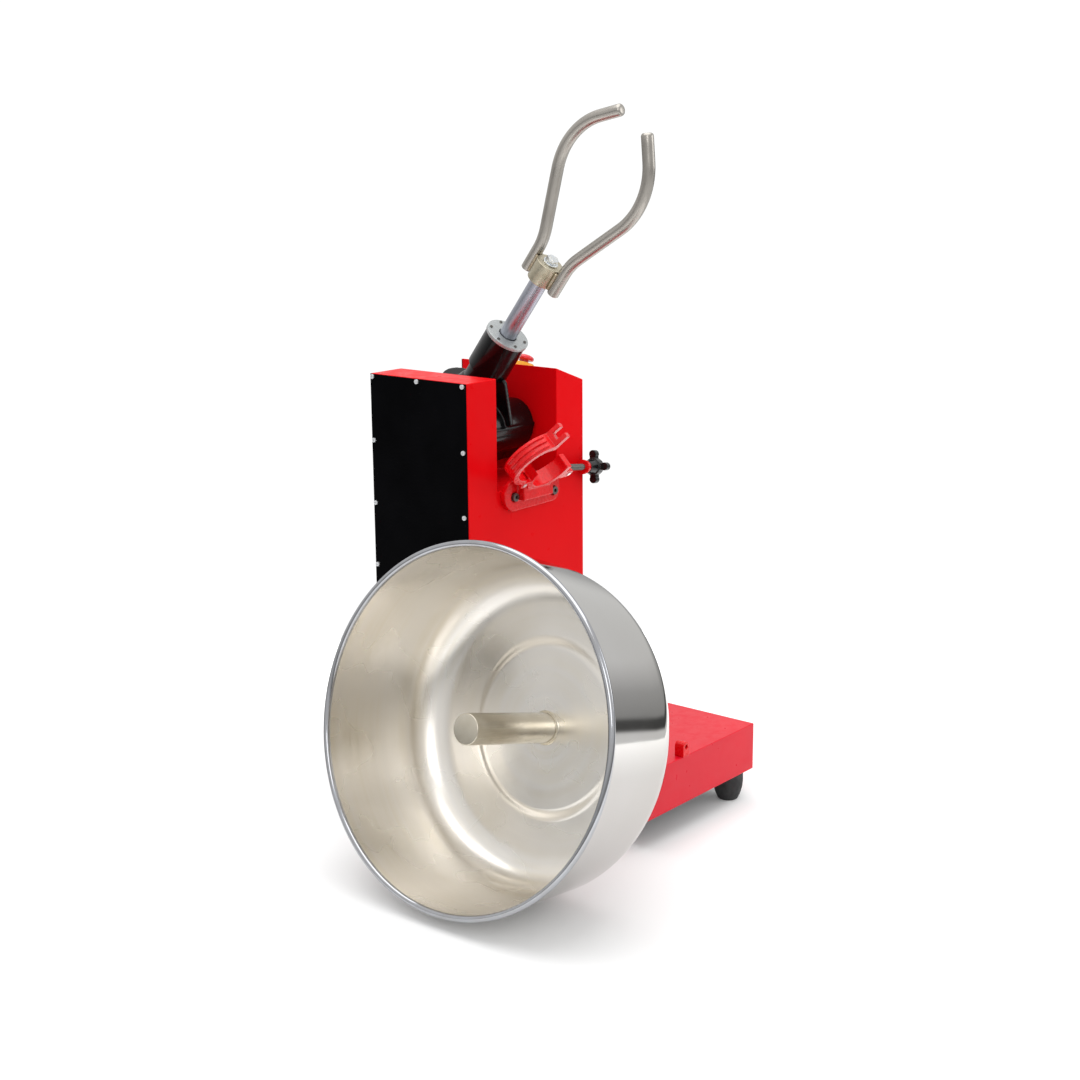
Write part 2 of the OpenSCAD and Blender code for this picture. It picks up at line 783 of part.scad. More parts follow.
module strap_pin() {
    color("#b9bcc0") on_clamp() translate([hinge_a - 1, hinge_b, -jaw_w / 2 - 1])
        cylinder(r = 4, h = jaw_w + 2);
}

module swing_bolt() {
    color("#b9bcc0") {
        on_clamp() difference() {
            ear(lug_a, lug_b, 8, -5.4, 5.4);
            translate([lug_a, lug_b, -30]) cylinder(r = 4.05, h = 60);
        }
        on_bolt() difference() {
            cylinder(r = bolt_r, h = 100);
            translate([0, 20, 0]) rotate([90, 0, 0]) cylinder(r = 7.5, h = 40);
        }
    }
}

module swing_pin() {
    color("#b9bcc0") on_clamp() translate([lug_a, lug_b, -jaw_w / 2 - 1])
        cylinder(r = 4, h = jaw_w + 2);
}

module clamp_collar() {
    color("#e5101c") on_bolt() translate([0, 0, 66]) difference() {
        cylinder(r1 = 13, r2 = 11, h = 11);
        translate([0, 0, -1]) cylinder(r = bolt_r, h = 20);
    }
}

module star_knob() {
    color("#0c0c0e") on_bolt() translate([0, 0, knob_base]) difference() {
        union() {
            cylinder(r1 = 11, r2 = 13, h = 22);
            translate([0, 0, 22]) cylinder(r = 15, h = 16);
            for (i = [0:3]) rotate([0, 0, i * 90 + 38]) {
                translate([0, -6, 24]) cube([22, 12, 12]);
                translate([22, 0, 24]) cylinder(r = 7, h = 12);
            }
            translate([0, 0, knob_h - 5]) cylinder(r1 = 10, r2 = knob_tip_r, h = 5);
        }
        translate([0, 0, -1]) cylinder(r = bolt_r + 0.05, h = 24);
    }
}

// ---- bowl seat -----------------------------------------------------------------------

module bowl_seat() {
    color("#9c9ea2") place() translate([seat_x, seat_y, base_top]) difference() {
        intersection() {
            union() {
                cylinder(r = 52, h = seat_plate_h);
                cylinder(r1 = seat_boss_r + 2, r2 = seat_boss_r - 2,
                    h = seat_plate_h + seat_boss_h);
            }
            block([-half_w - seat_x + 1, -60, -1], [60, 60, 60]);
        }
        for (turn = [-45, 45]) rotate([0, 0, turn]) translate([40, 0, seat_plate_h - 2.7])
            cylinder(r = 5.4, h = 4);
    }
}

// Heads sunk in the seat, clear of the bowl's foot
module seat_screws() {
    color("#b9bcc0") place() for (turn = [-45, 45]) translate([seat_x, seat_y, base_top])
        rotate([0, 0, turn]) translate([40, 0, seat_plate_h - 2.7]) pan_head(5, 2.3);
}

module bowl_lug() {
    color("#dc1c26") place() translate([lug_x, lug_y, base_top]) rotate([90, 0, 0])
        translate([0, 0, -8.5]) linear_extrude(17) difference() {
            union() {
                translate([-8, 0]) square([16, 16]);
                translate([0, 16]) circle(r = 8);
            }
            translate([0, 16]) circle(r = 3.5);
        }
}

// ---- bowl ----------------------------------------------------------------------------

// Points of one face of the bowl's wall, drawn in by t: bottom step, corner and wall
function corner(t) = [for (i = [0:10]) let (a = -90 + i * (90 - wall_lean) / 10)
    [corner_in + (corner_r - t) * cos(a), corner_r + (corner_r - t) * sin(a)]];
function wall_face(t) = concat([[step_r - 8, step_h + t], [step_r + 4, t]], corner(t),
    [[rim_r - t, bowl_h - bead_r]]);

module bowl_shell() {
    color("#c6c1b4") on_bowl() {
        rotate_extrude($fn = 120) polygon(concat([[15, step_h]], wall_face(0),
            [for (i = [len(wall_face(0)) - 1:-1:0]) wall_face(bowl_t)[i]],
            [[15, step_h + bowl_t]]));
        translate([0, 0, bowl_h - bead_r]) rotate_extrude($fn = 120)
            translate([rim_r, 0]) circle(r = bead_r, $fn = 28);
    }
}

module bowl_post() {
    top = bowl_h - post_short;
    low = step_h + bowl_t;
    r = post_d / 2;
    color("#b5af9f") on_bowl() rotate_extrude() polygon([[19, low], [r, low], [r, top - 1.5],
        [r - 1.5, top], [0, top], [0, top - 4], [19, top - 4]]);
}

module post_bushes() {
    color("#b58a3c") on_bowl() for (z = [step_h + bowl_t + 1, 120]) translate([0, 0, z])
        ring(19, spindle_r + 0.05, 26);
}

module bowl_plate() {
    color("#a9a8a4") on_bowl() translate([0, 0, 0.5]) ring(62, 15, step_h - 0.5);
}

module bowl_plate_screws() {
    color("#b9bcc0") on_bowl() for (i = [0:5]) rotate([0, 0, i * 60])
        translate([54, 0, 0.5]) rotate([180, 0, 0]) pan_head(3.5, 2);
}

module bowl_foot() {
    color("#9c9ea2") on_bowl() {
        difference() {
            translate([0, 0, -foot_drop]) cylinder(r = 46, h = foot_drop);
            translate([0, 0, -foot_drop - 1]) cylinder(r = 30, h = 15);
        }
        translate([0, 0, -4]) cylinder(r = spindle_r, h = 154);
    }
}

// ---- assembly ------------------------------------------------------------------------

base_box();
base_plate();
rubber_feet();
foot_screws();
cabinet_shell();
left_cover();
left_cover_screws();
rear_cover();
rear_cover_screws();
bearing_plates();
pivot_bushes();
pivot_caps();
control_box();
estop_collar();
estop_button();
start_collar();
start_button();
cable_gland();
motor();
motor_bracket();
motor_pulley();
drive_belt();
drive_pulley();
drive_shaft();
worm();
worm_bearings();
worm_wheel();
head_casting();
gearbox_cover();
gearbox_screws();
bearing_tube();
shaft_bearings();
bearing_flange();
flange_screws();
shaft_seal();
fork_shaft();
fork_hub();
fork_prong_upper();
fork_prong_lower();
fork_washer();
fork_screw();
clamp_saddle();
clamp_bolts();
clamp_strap();
strap_pin();
swing_bolt();
swing_pin();
clamp_collar();
star_knob();
bowl_seat();
seat_screws();
bowl_lug();
bowl_foot();
bowl_shell();
bowl_post();
post_bushes();
bowl_plate();
bowl_plate_screws();
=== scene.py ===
"""Fork dough mixer with a tilting head, a hinged tube clamp and a loose steel bowl.

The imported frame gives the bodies, the joints and the shapes of most pieces. Each operator
below makes one piece, or one group of like pieces, and gives it its finish. Turned and swept
pieces are drawn here in millimetres, each from its own joint.
"""

import json
import math

import bmesh
import bpy
from mathutils import Matrix, Vector

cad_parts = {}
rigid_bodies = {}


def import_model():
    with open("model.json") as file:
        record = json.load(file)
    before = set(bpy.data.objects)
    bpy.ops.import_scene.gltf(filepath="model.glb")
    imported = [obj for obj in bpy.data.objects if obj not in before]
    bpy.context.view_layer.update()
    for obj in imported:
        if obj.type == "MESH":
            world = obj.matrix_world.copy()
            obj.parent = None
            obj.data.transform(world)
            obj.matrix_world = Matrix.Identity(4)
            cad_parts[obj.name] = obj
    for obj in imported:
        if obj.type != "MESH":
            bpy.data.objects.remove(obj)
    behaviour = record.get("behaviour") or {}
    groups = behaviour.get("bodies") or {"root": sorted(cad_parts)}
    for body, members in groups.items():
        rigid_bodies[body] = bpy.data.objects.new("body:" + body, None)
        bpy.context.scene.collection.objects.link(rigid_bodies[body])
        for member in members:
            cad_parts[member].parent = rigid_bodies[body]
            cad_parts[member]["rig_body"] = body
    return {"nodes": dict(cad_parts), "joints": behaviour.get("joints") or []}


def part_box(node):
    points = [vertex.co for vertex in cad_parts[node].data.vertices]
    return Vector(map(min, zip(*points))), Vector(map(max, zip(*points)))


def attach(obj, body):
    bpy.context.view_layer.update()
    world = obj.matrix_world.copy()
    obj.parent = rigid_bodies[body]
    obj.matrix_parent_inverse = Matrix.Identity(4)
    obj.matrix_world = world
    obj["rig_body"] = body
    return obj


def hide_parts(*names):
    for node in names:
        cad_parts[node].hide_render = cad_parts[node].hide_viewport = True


bl_info = {
    "name": "Fork dough mixer",
    "version": (1, 0, 0),
    "blender": (4, 5, 0),
    "location": "3D View > Sidebar > Dough mixer",
    "description": "Makes a fork dough mixer with a tilting head and a loose bowl",
    "category": "Add Mesh",
}

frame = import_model()
NODES = frame["nodes"]
JOINTS = {joint["name"]: joint for joint in frame["joints"]}
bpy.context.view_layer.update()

# The cabinet's middle and front face, from which drawn() measures
SHELL_LOW, SHELL_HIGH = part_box("cabinet_shell")
MIDDLE_X = (SHELL_LOW.x + SHELL_HIGH.x) / 2
FRONT_Y = SHELL_LOW.y

SHARP_ANGLE = 32  # degrees; an edge bent more than this is rounded off or stays crisp
CAST_KEPT = 0.45  # share of a casting's faces that is kept once it is softened
NOISE_LOW, NOISE_HIGH = 0.3, 0.7  # fractal noise seldom leaves this span
SEED_STEP = (1.73, 0.91, 2.37)  # how far one seed moves a pattern
RING_CLIMB = 0.83  # how much height counts against radius in turning marks
MIX_A, MIX_B, MIX_RESULT = 6, 7, 2  # colour sockets of a Mix node


# ---- places --------------------------------------------------------------------------


def drawn(x, y, z):
    """A place given in the drawing's millimetres, in the row frame's metres."""
    return Vector((MIDDLE_X + x / 1000, FRONT_Y + y / 1000, z / 1000))


def joint_place(name, across=(1, 0, 0)):
    """A local frame at a joint: Z along its axis, X as near as it can be to across."""
    z = Vector(JOINTS[name]["axis"]).normalized()
    x = Vector(across)
    x = (x - z * x.dot(z)).normalized()
    place = Matrix((x, z.cross(x), z)).transposed().to_4x4()
    place.translation = Vector(JOINTS[name]["pos_m"])
    return place


def shaft_place():
    """Z up the fork shaft from the middle of the flange's face."""
    return joint_place("fork_spin")


def bowl_place():
    """Z up the bowl's axis from the middle of its bottom."""
    return joint_place("bowl_spin", (0, -1, 0))


def bolt_place():
    """Z along the loose swing bolt from its pin."""
    return joint_place("knob_turn", JOINTS["bolt_swing"]["axis"])


# ---- finishes ------------------------------------------------------------------------


class Finish:
    """A material under construction: one Principled shader and the nodes that feed it."""

    def __init__(self, name, colour, rough, metal=0.0, coat=0.0, coat_rough=0.05, ior=1.5):
        self.material = bpy.data.materials.new(f"{name}_finish")
        self.material.use_nodes = True
        self.tree = self.material.node_tree
        self.shader = self.tree.nodes["Principled BSDF"]
        self.colour = tuple(colour)
        self.place = self.tree.nodes.new("ShaderNodeTexCoord").outputs["Object"]
        sockets = self.shader.inputs
        sockets["Base Color"].default_value = (*self.colour, 1)
        sockets["Roughness"].default_value = rough
        sockets["Metallic"].default_value = metal
        sockets["Coat Weight"].default_value = coat
        sockets["Coat Roughness"].default_value = coat_rough
        sockets["IOR"].default_value = ior

    def node(self, kind, settings=(), **inputs):
        """A new node. An input is named, or numbered as in _0, and may be another's output."""
        made = self.tree.nodes.new(kind)
        for key, value in dict(settings).items():
            setattr(made, key, value)
        for key, value in inputs.items():
            socket = made.inputs[int(key[1:])] if key[1:].isdigit() else made.inputs[key]
            if isinstance(value, bpy.types.NodeSocket):
                self.tree.links.new(value, socket)
            else:
                socket.default_value = value
        return made

    def seen_from(self, place):
        """Patterns follow the axes of place instead of the frame's."""
        back = place.inverted()
        self.place = self.node("ShaderNodeMapping", Vector=self.place, Location=back.translation,
                               Rotation=back.to_euler()).outputs[0]
        return self

    def maths(self, operation, first, second):
        return self.node("ShaderNodeMath", {"operation": operation}, _0=first, _1=second).outputs[0]

    def grain(self, scale, detail=3.0, stretch=(1, 1, 1), seed=0.0):
        """Fractal noise from 0 to 1; scale is in features per metre."""
        place = self.node("ShaderNodeVectorMath", {"operation": "MULTIPLY_ADD"}, _0=self.place,
                          _1=stretch, _2=[seed * step for step in SEED_STEP]).outputs[0]
        return self.node("ShaderNodeTexNoise", {"noise_dimensions": "3D"}, Vector=place,
                         Scale=scale, Detail=detail).outputs["Fac"]

    def from_axis(self):
        """Distance from the pattern's Z axis, in metres."""
        parts = self.node("ShaderNodeSeparateXYZ", _0=self.place).outputs
        flat = self.node("ShaderNodeCombineXYZ", X=parts["X"], Y=parts["Y"]).outputs[0]
        return self.node("ShaderNodeVectorMath", {"operation": "LENGTH"}, _0=flat).outputs[1]

    def turned_rings(self, scale, seed=0.0):
        """Turning marks: noise that changes only with radius and height about Z."""
        height = self.node("ShaderNodeSeparateXYZ", _0=self.place).outputs["Z"]
        along = self.maths("ADD", self.from_axis(), self.maths("MULTIPLY", height, RING_CLIMB))
        return self.node("ShaderNodeTexNoise", {"noise_dimensions": "2D"}, Vector=self.node(
            "ShaderNodeCombineXYZ", X=along, Y=seed).outputs[0], Scale=scale,
            Detail=4.0).outputs["Fac"]

    def ramp(self, factor, low, high, start, end):
        """factor mapped from start..end to low..high."""
        return self.node("ShaderNodeMapRange", _0=factor, _1=start, _2=end, _3=low,
                         _4=high).outputs[0]

    def tint(self, factor, other, start=NOISE_LOW, end=NOISE_HIGH):
        """Base colour drifts between what it was and another one."""
        blend = self.node("ShaderNodeMix", {"data_type": "RGBA"}, _0=self.ramp(
            factor, 0.0, 1.0, start, end))
        own = self.shader.inputs["Base Color"]
        if own.is_linked:
            self.tree.links.new(own.links[0].from_socket, blend.inputs[MIX_A])
        else:
            blend.inputs[MIX_A].default_value = (*self.colour, 1)
        blend.inputs[MIX_B].default_value = (*other, 1)
        self.tree.links.new(blend.outputs[MIX_RESULT], own)
        return self

    def rougher(self, factor, low, high):
        """Roughness follows factor between two values."""
        self.tree.links.new(self.ramp(factor, low, high, NOISE_LOW, NOISE_HIGH),
                            self.shader.inputs["Roughness"])
        return self

    def bump(self, factor, depth, strength):
        """Relief of the given depth in metres, added to any there already."""
        bump = self.node("ShaderNodeBump", Strength=strength, Distance=depth, Height=factor)
        own = self.shader.inputs["Normal"]
        if own.is_linked:
            self.tree.links.new(own.links[0].from_socket, bump.inputs["Normal"])
        self.tree.links.new(bump.outputs[0], own)
        return self


def shade(colour, share):
    """The colour with each channel cut to the same share."""
    return [channel * share for channel in colour]


def enamel(name, colour, rough, coat, ior):
    """Glossy paint on sheet, with the faint waviness of a sprayed coat."""
    made = Finish(name, colour, rough, coat=coat, coat_rough=0.07, ior=ior)
    made.tint(made.grain(7, 2), shade(colour, 0.93), 0.35, 0.75)
    made.rougher(made.grain(60, 3, seed=2), rough * 0.85, rough * 1.3)
    return made.bump(made.grain(90, 0, seed=1), 0.00002, 0.3)


def red_enamel(colours):
    return enamel("red_enamel", colours.red, 0.32, 0.02, 1.15)


def base_enamel(colours):
    return enamel("base_enamel", colours.base_red, 0.32, 0.1, 1.28)


def red_cast(colours):
    made = Finish("red_cast", colours.red, 0.28, coat=0.3, coat_rough=0.08, ior=1.3)
    made.tint(made.grain(60, 3), shade(colours.red, 0.85))
    made.rougher(made.grain(160, 3, seed=2), 0.2, 0.34)
    return made.bump(made.grain(170, 3, seed=4), 0.00025, 0.35)


def black_satin(colours):
    made = Finish("black_satin", colours.black, 0.5, ior=1.3)
    made.shader.inputs["Specular IOR Level"].default_value = 0.02
    made.tint(made.grain(14, 3), shade(colours.black, 1.7))
    made.rougher(made.grain(35, 4, seed=3), 0.42, 0.58)
    return made.bump(made.grain(1500, 2, seed=1), 0.00004, 0.5)


def black_gloss(colours):
    made = Finish("black_gloss", colours.black, 0.22, coat=0.16, coat_rough=0.05, ior=1.3)
    made.tint(made.grain(40, 3), shade(colours.black, 1.6), 0.45, 0.8)
    made.rougher(made.grain(90, 3, seed=2), 0.16, 0.28)
    return made.bump(made.grain(110, 3, seed=4), 0.0003, 0.3)


def dark_sheet(colours):
    made = Finish("dark_sheet", (0.06, 0.062, 0.067), 0.5)
    made.tint(made.grain(25, 3), (0.035, 0.036, 0.04))
    return made.bump(made.grain(900, 3), 0.00005, 0.5)


def grey_motor(colours):
    made = Finish("grey_motor", (0.12, 0.135, 0.15), 0.42)
    made.tint(made.grain(30, 4), (0.07, 0.08, 0.09))
    made.rougher(made.grain(80, 3, seed=2), 0.34, 0.55)
    return made.bump(made.grain(600, 4), 0.00012, 0.5)


def rubber(colours):
    made = Finish("rubber", (0.014, 0.014, 0.015), 0.62)
    made.tint(made.grain(60, 4), (0.04, 0.039, 0.037), 0.5, 0.85)
    made.rougher(made.grain(110, 4, seed=2), 0.5, 0.78)
    return made.bump(made.grain(850, 4), 0.0001, 0.6)


def moulded(name, colour, rough=0.25):
    made = Finish(name, colour, rough, coat=0.25, coat_rough=0.1)
    made.tint(made.grain(80, 3), shade(colour, 0.8))
    made.rougher(made.grain(200, 3, seed=2), rough * 0.75, rough * 1.4)
    return made.bump(made.grain(1300, 3), 0.00003, 0.5)


def black_plastic(colours):
    made = Finish("black_plastic", (0.004, 0.004, 0.0045), 0.24, coat=0.12, ior=1.34)
    made.tint(made.grain(80, 3), (0.007, 0.007, 0.007))
    made.rougher(made.grain(200, 3, seed=2), 0.18, 0.32)
    return made.bump(made.grain(1300, 3), 0.00003, 0.4)


def yellow_plastic(colours):
    return moulded("yellow_plastic", colours.yellow, 0.35)


def red_plastic(colours):
    return moulded("red_plastic", (0.72, 0.02, 0.03), 0.2)


def green_plastic(colours):
    return moulded("green_plastic", (0.02, 0.33, 0.09), 0.25)


def zinc(colours):
    made = Finish("zinc", (0.66, 0.69, 0.72), 0.3, metal=1.0)
    made.tint(made.grain(400, 3), (0.72, 0.68, 0.55), 0.45, 0.8)
    made.rougher(made.grain(700, 4, seed=2), 0.2, 0.42)
    return made.bump(made.grain(2200, 3), 0.00004, 0.4)


def white_zinc(colours):
    made = Finish("white_zinc", (0.8, 0.81, 0.82), 0.36, metal=0.5)
    made.tint(made.grain(500, 3), (0.62, 0.63, 0.65))
    return made.bump(made.grain(2200, 3), 0.00004, 0.4)


def dark_bolt(colours):
    made = Finish("dark_bolt", (0.13, 0.125, 0.12), 0.4, metal=0.9)
    made.tint(made.grain(500, 4), (0.3, 0.26, 0.2), 0.5, 0.8)
    return made.bump(made.grain(1800, 3), 0.00005, 0.5)


def ground_steel(colours):
    made = Finish("ground_steel", (0.4, 0.41, 0.46), 0.32, metal=1.0).seen_from(shaft_place())
    made.tint(made.grain(30, 3), (0.35, 0.36, 0.41))
    made.rougher(made.turned_rings(900), 0.28, 0.38)
    return made.bump(made.turned_rings(2600, 3.0), 0.00001, 0.3)


def grey_steel(colours):
    made = Finish("grey_steel", (0.44, 0.45, 0.47), 0.36, metal=1.0).seen_from(bowl_place())
    made.tint(made.grain(50, 4), (0.33, 0.33, 0.34))
    made.rougher(made.turned_rings(700), 0.28, 0.48)
    return made.bump(made.turned_rings(1500, 5.0), 0.00005, 0.4)


def bronze(colours):
    made = Finish("bronze", (0.6, 0.38, 0.14), 0.32, metal=1.0)
    made.tint(made.grain(60, 3), (0.45, 0.27, 0.1))
    return made.bump(made.turned_rings(1500), 0.00004, 0.4)


def cast_aluminium(colours):
    made = Finish("cast_aluminium", (0.62, 0.63, 0.65), 0.42, metal=1.0)
    made.tint(made.grain(200, 4), (0.5, 0.5, 0.52))
    return made.bump(made.grain(900, 4), 0.00012, 0.5)


def turned_aluminium(colours):
    made = Finish("turned_aluminium", (0.42, 0.44, 0.44), 0.38, metal=0.6)
    made.seen_from(shaft_place())
    made.tint(made.grain(160, 3), (0.37, 0.39, 0.39))
    made.rougher(made.turned_rings(1200), 0.26, 0.42)
    return made.bump(made.turned_rings(2600, 2.0), 0.00004, 0.5)


def fork_steel(colours):
    made = Finish("fork_steel", colours.fork, 0.3, metal=1.0).seen_from(shaft_place())
    made.tint(made.grain(26, 3), shade(colours.fork, 0.85), 0.35, 0.75)
    made.rougher(made.grain(60, 3, (1, 1, 0.2), 2.0), 0.26, 0.36)
    return made.bump(made.grain(60, 2, (1, 1, 0.1), 6.0), 0.00003, 0.2)


def weld_steel(colours):
    made = Finish("weld_steel", (0.5, 0.44, 0.33), 0.34, metal=1.0)
    made.tint(made.grain(120, 4), (0.36, 0.29, 0.2))
    made.rougher(made.grain(300, 4, seed=2), 0.24, 0.48)
    return made.bump(made.grain(500, 4), 0.0002, 0.6)


def hub_steel(colours):
    made = Finish("hub_steel", (0.5, 0.455, 0.35), 0.34, metal=1.0).seen_from(shaft_place())
    made.tint(made.grain(70, 4), (0.38, 0.335, 0.24), 0.35, 0.75)
    made.rougher(made.grain(140, 4, seed=2.0), 0.26, 0.42)
    return made.bump(made.turned_rings(1500, 2.0), 0.00004, 0.5)


def bowl_outside(colours):
    made = Finish("bowl_outside", (0.54, 0.53, 0.515), 0.07, metal=1.0).seen_from(bowl_place())
    made.tint(made.grain(5, 3), (0.5, 0.49, 0.465))
    made.rougher(made.grain(9, 4, seed=2), 0.05, 0.11)
    return made.bump(made.turned_rings(420, 1.0), 0.00003, 0.2)


def bowl_rim(colours):
    made = Finish("bowl_rim", (0.42, 0.43, 0.455), 0.1, metal=1.0).seen_from(bowl_place())
    made.tint(made.grain(40, 3), (0.38, 0.38, 0.39))
    made.rougher(made.grain(60, 4, seed=2), 0.07, 0.16)
    return made.bump(made.turned_rings(1600), 0.00002, 0.3)


def bowl_inside(colours):
    made = Finish("bowl_inside", colours.bowl, 0.26, metal=1.0).seen_from(bowl_place())
    warm = (colours.bowl[0] * 0.88, colours.bowl[1] * 0.86, colours.bowl[2] * 0.8)
    made.tint(made.grain(8, 2), warm, 0.3, 0.75)
    made.tint(made.turned_rings(60, 4.0), shade(colours.bowl, 0.95), 0.4, 0.7)
    made.rougher(made.grain(11, 2, seed=6.0), 0.22, 0.34)
    made.bump(made.turned_rings(1100, 1.0), 0.00002, 0.3)
    return made.bump(made.turned_rings(26, 7.3), 0.0014, 0.3)


def post_steel(colours):
    made = Finish("post_steel", (0.7, 0.66, 0.57), 0.24, metal=1.0).seen_from(bowl_place())
    made.tint(made.grain(18, 3), (0.58, 0.53, 0.43))
    made.rougher(made.grain(60, 2, seed=2), 0.18, 0.26)
    return made.bump(made.turned_rings(900, 5.0), 0.00002, 0.3)


def pale_floor(colours):
    made = Finish("pale_floor", colours.floor, 0.9)
    made.tint(made.grain(0.6, 2), shade(colours.floor, 0.985))
    made.shader.inputs["Specular IOR Level"].default_value = 0.0
    # Painted light: the floor glows faintly near the mixer and more strongly from 0.6 m out to 1.1
    # m, so that its edge fades into the white backdrop.
    made.shader.inputs["Emission Color"].default_value = (1, 1, 1, 1)
    glow = made.ramp(made.from_axis(), 0.06, 0.6, 0.6, 1.1)
    made.tree.links.new(glow, made.shader.inputs["Emission Strength"])
    return made


FINISHES = {maker.__name__: maker for maker in (
    red_enamel, base_enamel, red_cast, black_satin, black_gloss, dark_sheet, grey_motor, rubber,
    black_plastic, yellow_plastic, red_plastic, green_plastic, zinc, white_zinc, dark_bolt,
    ground_steel, grey_steel, bronze, cast_aluminium, turned_aluminium, fork_steel,
    weld_steel, hub_steel, bowl_outside, bowl_rim, bowl_inside, post_steel, pale_floor)}


def finish(name):
    """The named material, made the first time it's asked for."""
    known = bpy.data.materials.get(f"{name}_finish")
    return known or FINISHES[name](bpy.context.scene.mixer_colours).material


# ---- making pieces -------------------------------------------------------------------


def mesh_from(bm, name, crease=SHARP_ANGLE):
    """Turns a bmesh into a mesh that is smooth across edges flatter than crease degrees."""
    bmesh.ops.recalc_face_normals(bm, faces=bm.faces)
    for face in bm.faces:
        face.smooth = True
    for edge in bm.edges:
        edge.smooth = len(edge.link_faces) == 2 and edge.calc_face_angle(0) < math.radians(crease)
    mesh = bpy.data.meshes.new(name)
    bm.to_mesh(mesh)
    bm.free()
    return mesh


def add_piece(name, mesh, body, finishes, stands_for=(), place=None, level=False):
    """Puts a finished mesh in the scene on its body. level keeps broad faces looking flat."""
    if not mesh.polygons:
        raise RuntimeError(f"{name} has no faces")
    piece = bpy.data.objects.new(name, mesh)
    bpy.context.scene.collection.objects.link(piece)
    if place is not None:
        mesh.transform(place)
    for key in [finishes] if isinstance(finishes, str) else finishes:
        mesh.materials.append(finish(key))
    if level:
        flat = piece.modifiers.new("level_faces", "WEIGHTED_NORMAL")
        flat.keep_sharp = True
        flat.weight = 80
    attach(piece, body)
    if stands_for:
        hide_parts(*stands_for)


def node_bmesh(node):
    """The frame node's shape as one closed bmesh with whole flat faces."""
    bm = bmesh.new()
    bm.from_mesh(NODES[node].data)
    bmesh.ops.remove_doubles(bm, verts=bm.verts, dist=2e-6)
    bmesh.ops.dissolve_limit(bm, angle_limit=math.radians(0.5), verts=bm.verts, edges=bm.edges)
    return bm


def body_of_node(node):
    return NODES[node]["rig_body"]


def eased(node, finishes, ease, steps=2, shortest=0.0):
    """A piece with the node's shape, its sharp edges rounded off by ease millimetres.

    Edges up to shortest millimetres long are left as they are.
    """
    bm = node_bmesh(node)
    edges = [edge for edge in bm.edges if len(edge.link_faces) == 2
             and edge.calc_face_angle(0) > math.radians(SHARP_ANGLE)
             and edge.calc_length() > shortest / 1000]
    bmesh.ops.bevel(bm, geom=edges, offset=ease / 1000, segments=steps, profile=0.5,
                    affect="EDGES", clamp_overlap=True)
    add_piece(f"{node}_piece", mesh_from(bm, f"{node}_piece"), body_of_node(node),
              finishes, [node], level=True)


def cast(node, finishes, grid, rounds):
    """A piece with the node's shape and the soft edges and fillets of a casting."""
    bm = node_bmesh(node)
    rough = bpy.data.objects.new("casting", mesh_from(bm, "casting"))
    bpy.context.scene.collection.objects.link(rough)
    remesh = rough.modifiers.new("grid", "REMESH")
    remesh.mode = "VOXEL"
    remesh.voxel_size = grid / 1000
    soften = rough.modifiers.new("soften", "SMOOTH")
    soften.iterations = rounds
    soften.factor = 0.5
    thin = rough.modifiers.new("thin", "DECIMATE")
    thin.ratio = CAST_KEPT
    evaluated = rough.evaluated_get(bpy.context.evaluated_depsgraph_get())
    mesh = bpy.data.meshes.new_from_object(evaluated)
    mesh.name = f"{node}_piece"
    bpy.data.objects.remove(rough)
    bm = bmesh.new()
    bm.from_mesh(mesh)
    bpy.data.meshes.remove(mesh)
    add_piece(f"{node}_piece", mesh_from(bm, f"{node}_piece", 60), body_of_node(node),
              finishes, [node], level=True)


def rounded(points, radius, steps=4):
    """A polyline of [r, z] millimetres with each inner corner turned into an arc."""
    made = [points[0]]
    for before, corner, after in zip(points, points[1:], points[2:]):
        back = Vector(before) - Vector(corner)
        on = Vector(after) - Vector(corner)
        if back.length < 1e-6 or on.length < 1e-6 or back.angle(on) > 3.0:
            made.append(corner)
            continue
        reach = min(radius, back.length * 0.49, on.length * 0.49)
        start = Vector(corner) + back.normalized() * reach
        end = Vector(corner) + on.normalized() * reach
        for i in range(steps + 1):
            t = i / steps
            made.append(tuple(start.lerp(Vector(corner), t).lerp(Vector(corner).lerp(end, t), t)))
    return made + [points[-1]]


def turned_mesh(name, profile, sides, closed=False, zones=None, crease=SHARP_ANGLE):
    """Turns a profile of [r, z] millimetres about Z. zones gives each span's material."""
    bm = bmesh.new()
    rings = []
    for r, z in profile:
        if r < 1e-6:
            rings.append([bm.verts.new((0, 0, z / 1000))])
            continue
        rings.append([bm.verts.new((r / 1000 * math.cos(a), r / 1000 * math.sin(a), z / 1000))
                      for a in (math.tau * k / sides for k in range(sides))])
    spans = list(zip(rings, rings[1:])) + ([(rings[-1], rings[0])] if closed else [])
    for index, (low, high) in enumerate(spans):
        for k in range(sides):
            n = (k + 1) % sides
            corners = [low[k % len(low)], low[n % len(low)], high[n % len(high)],
                       high[k % len(high)]]
            unique = list(dict.fromkeys(corners))
            if len(unique) > 2:
                bm.faces.new(unique).material_index = zones[index] if zones else 0
    return mesh_from(bm, name, crease)


def turned_piece(node, outline, finish_name, place, sides=96):
    """A piece turned about the Z of place that stands for one frame node."""
    name = f"{node}_piece"
    add_piece(name, turned_mesh(name, outline, sides), body_of_node(node), finish_name,
              [node], place)


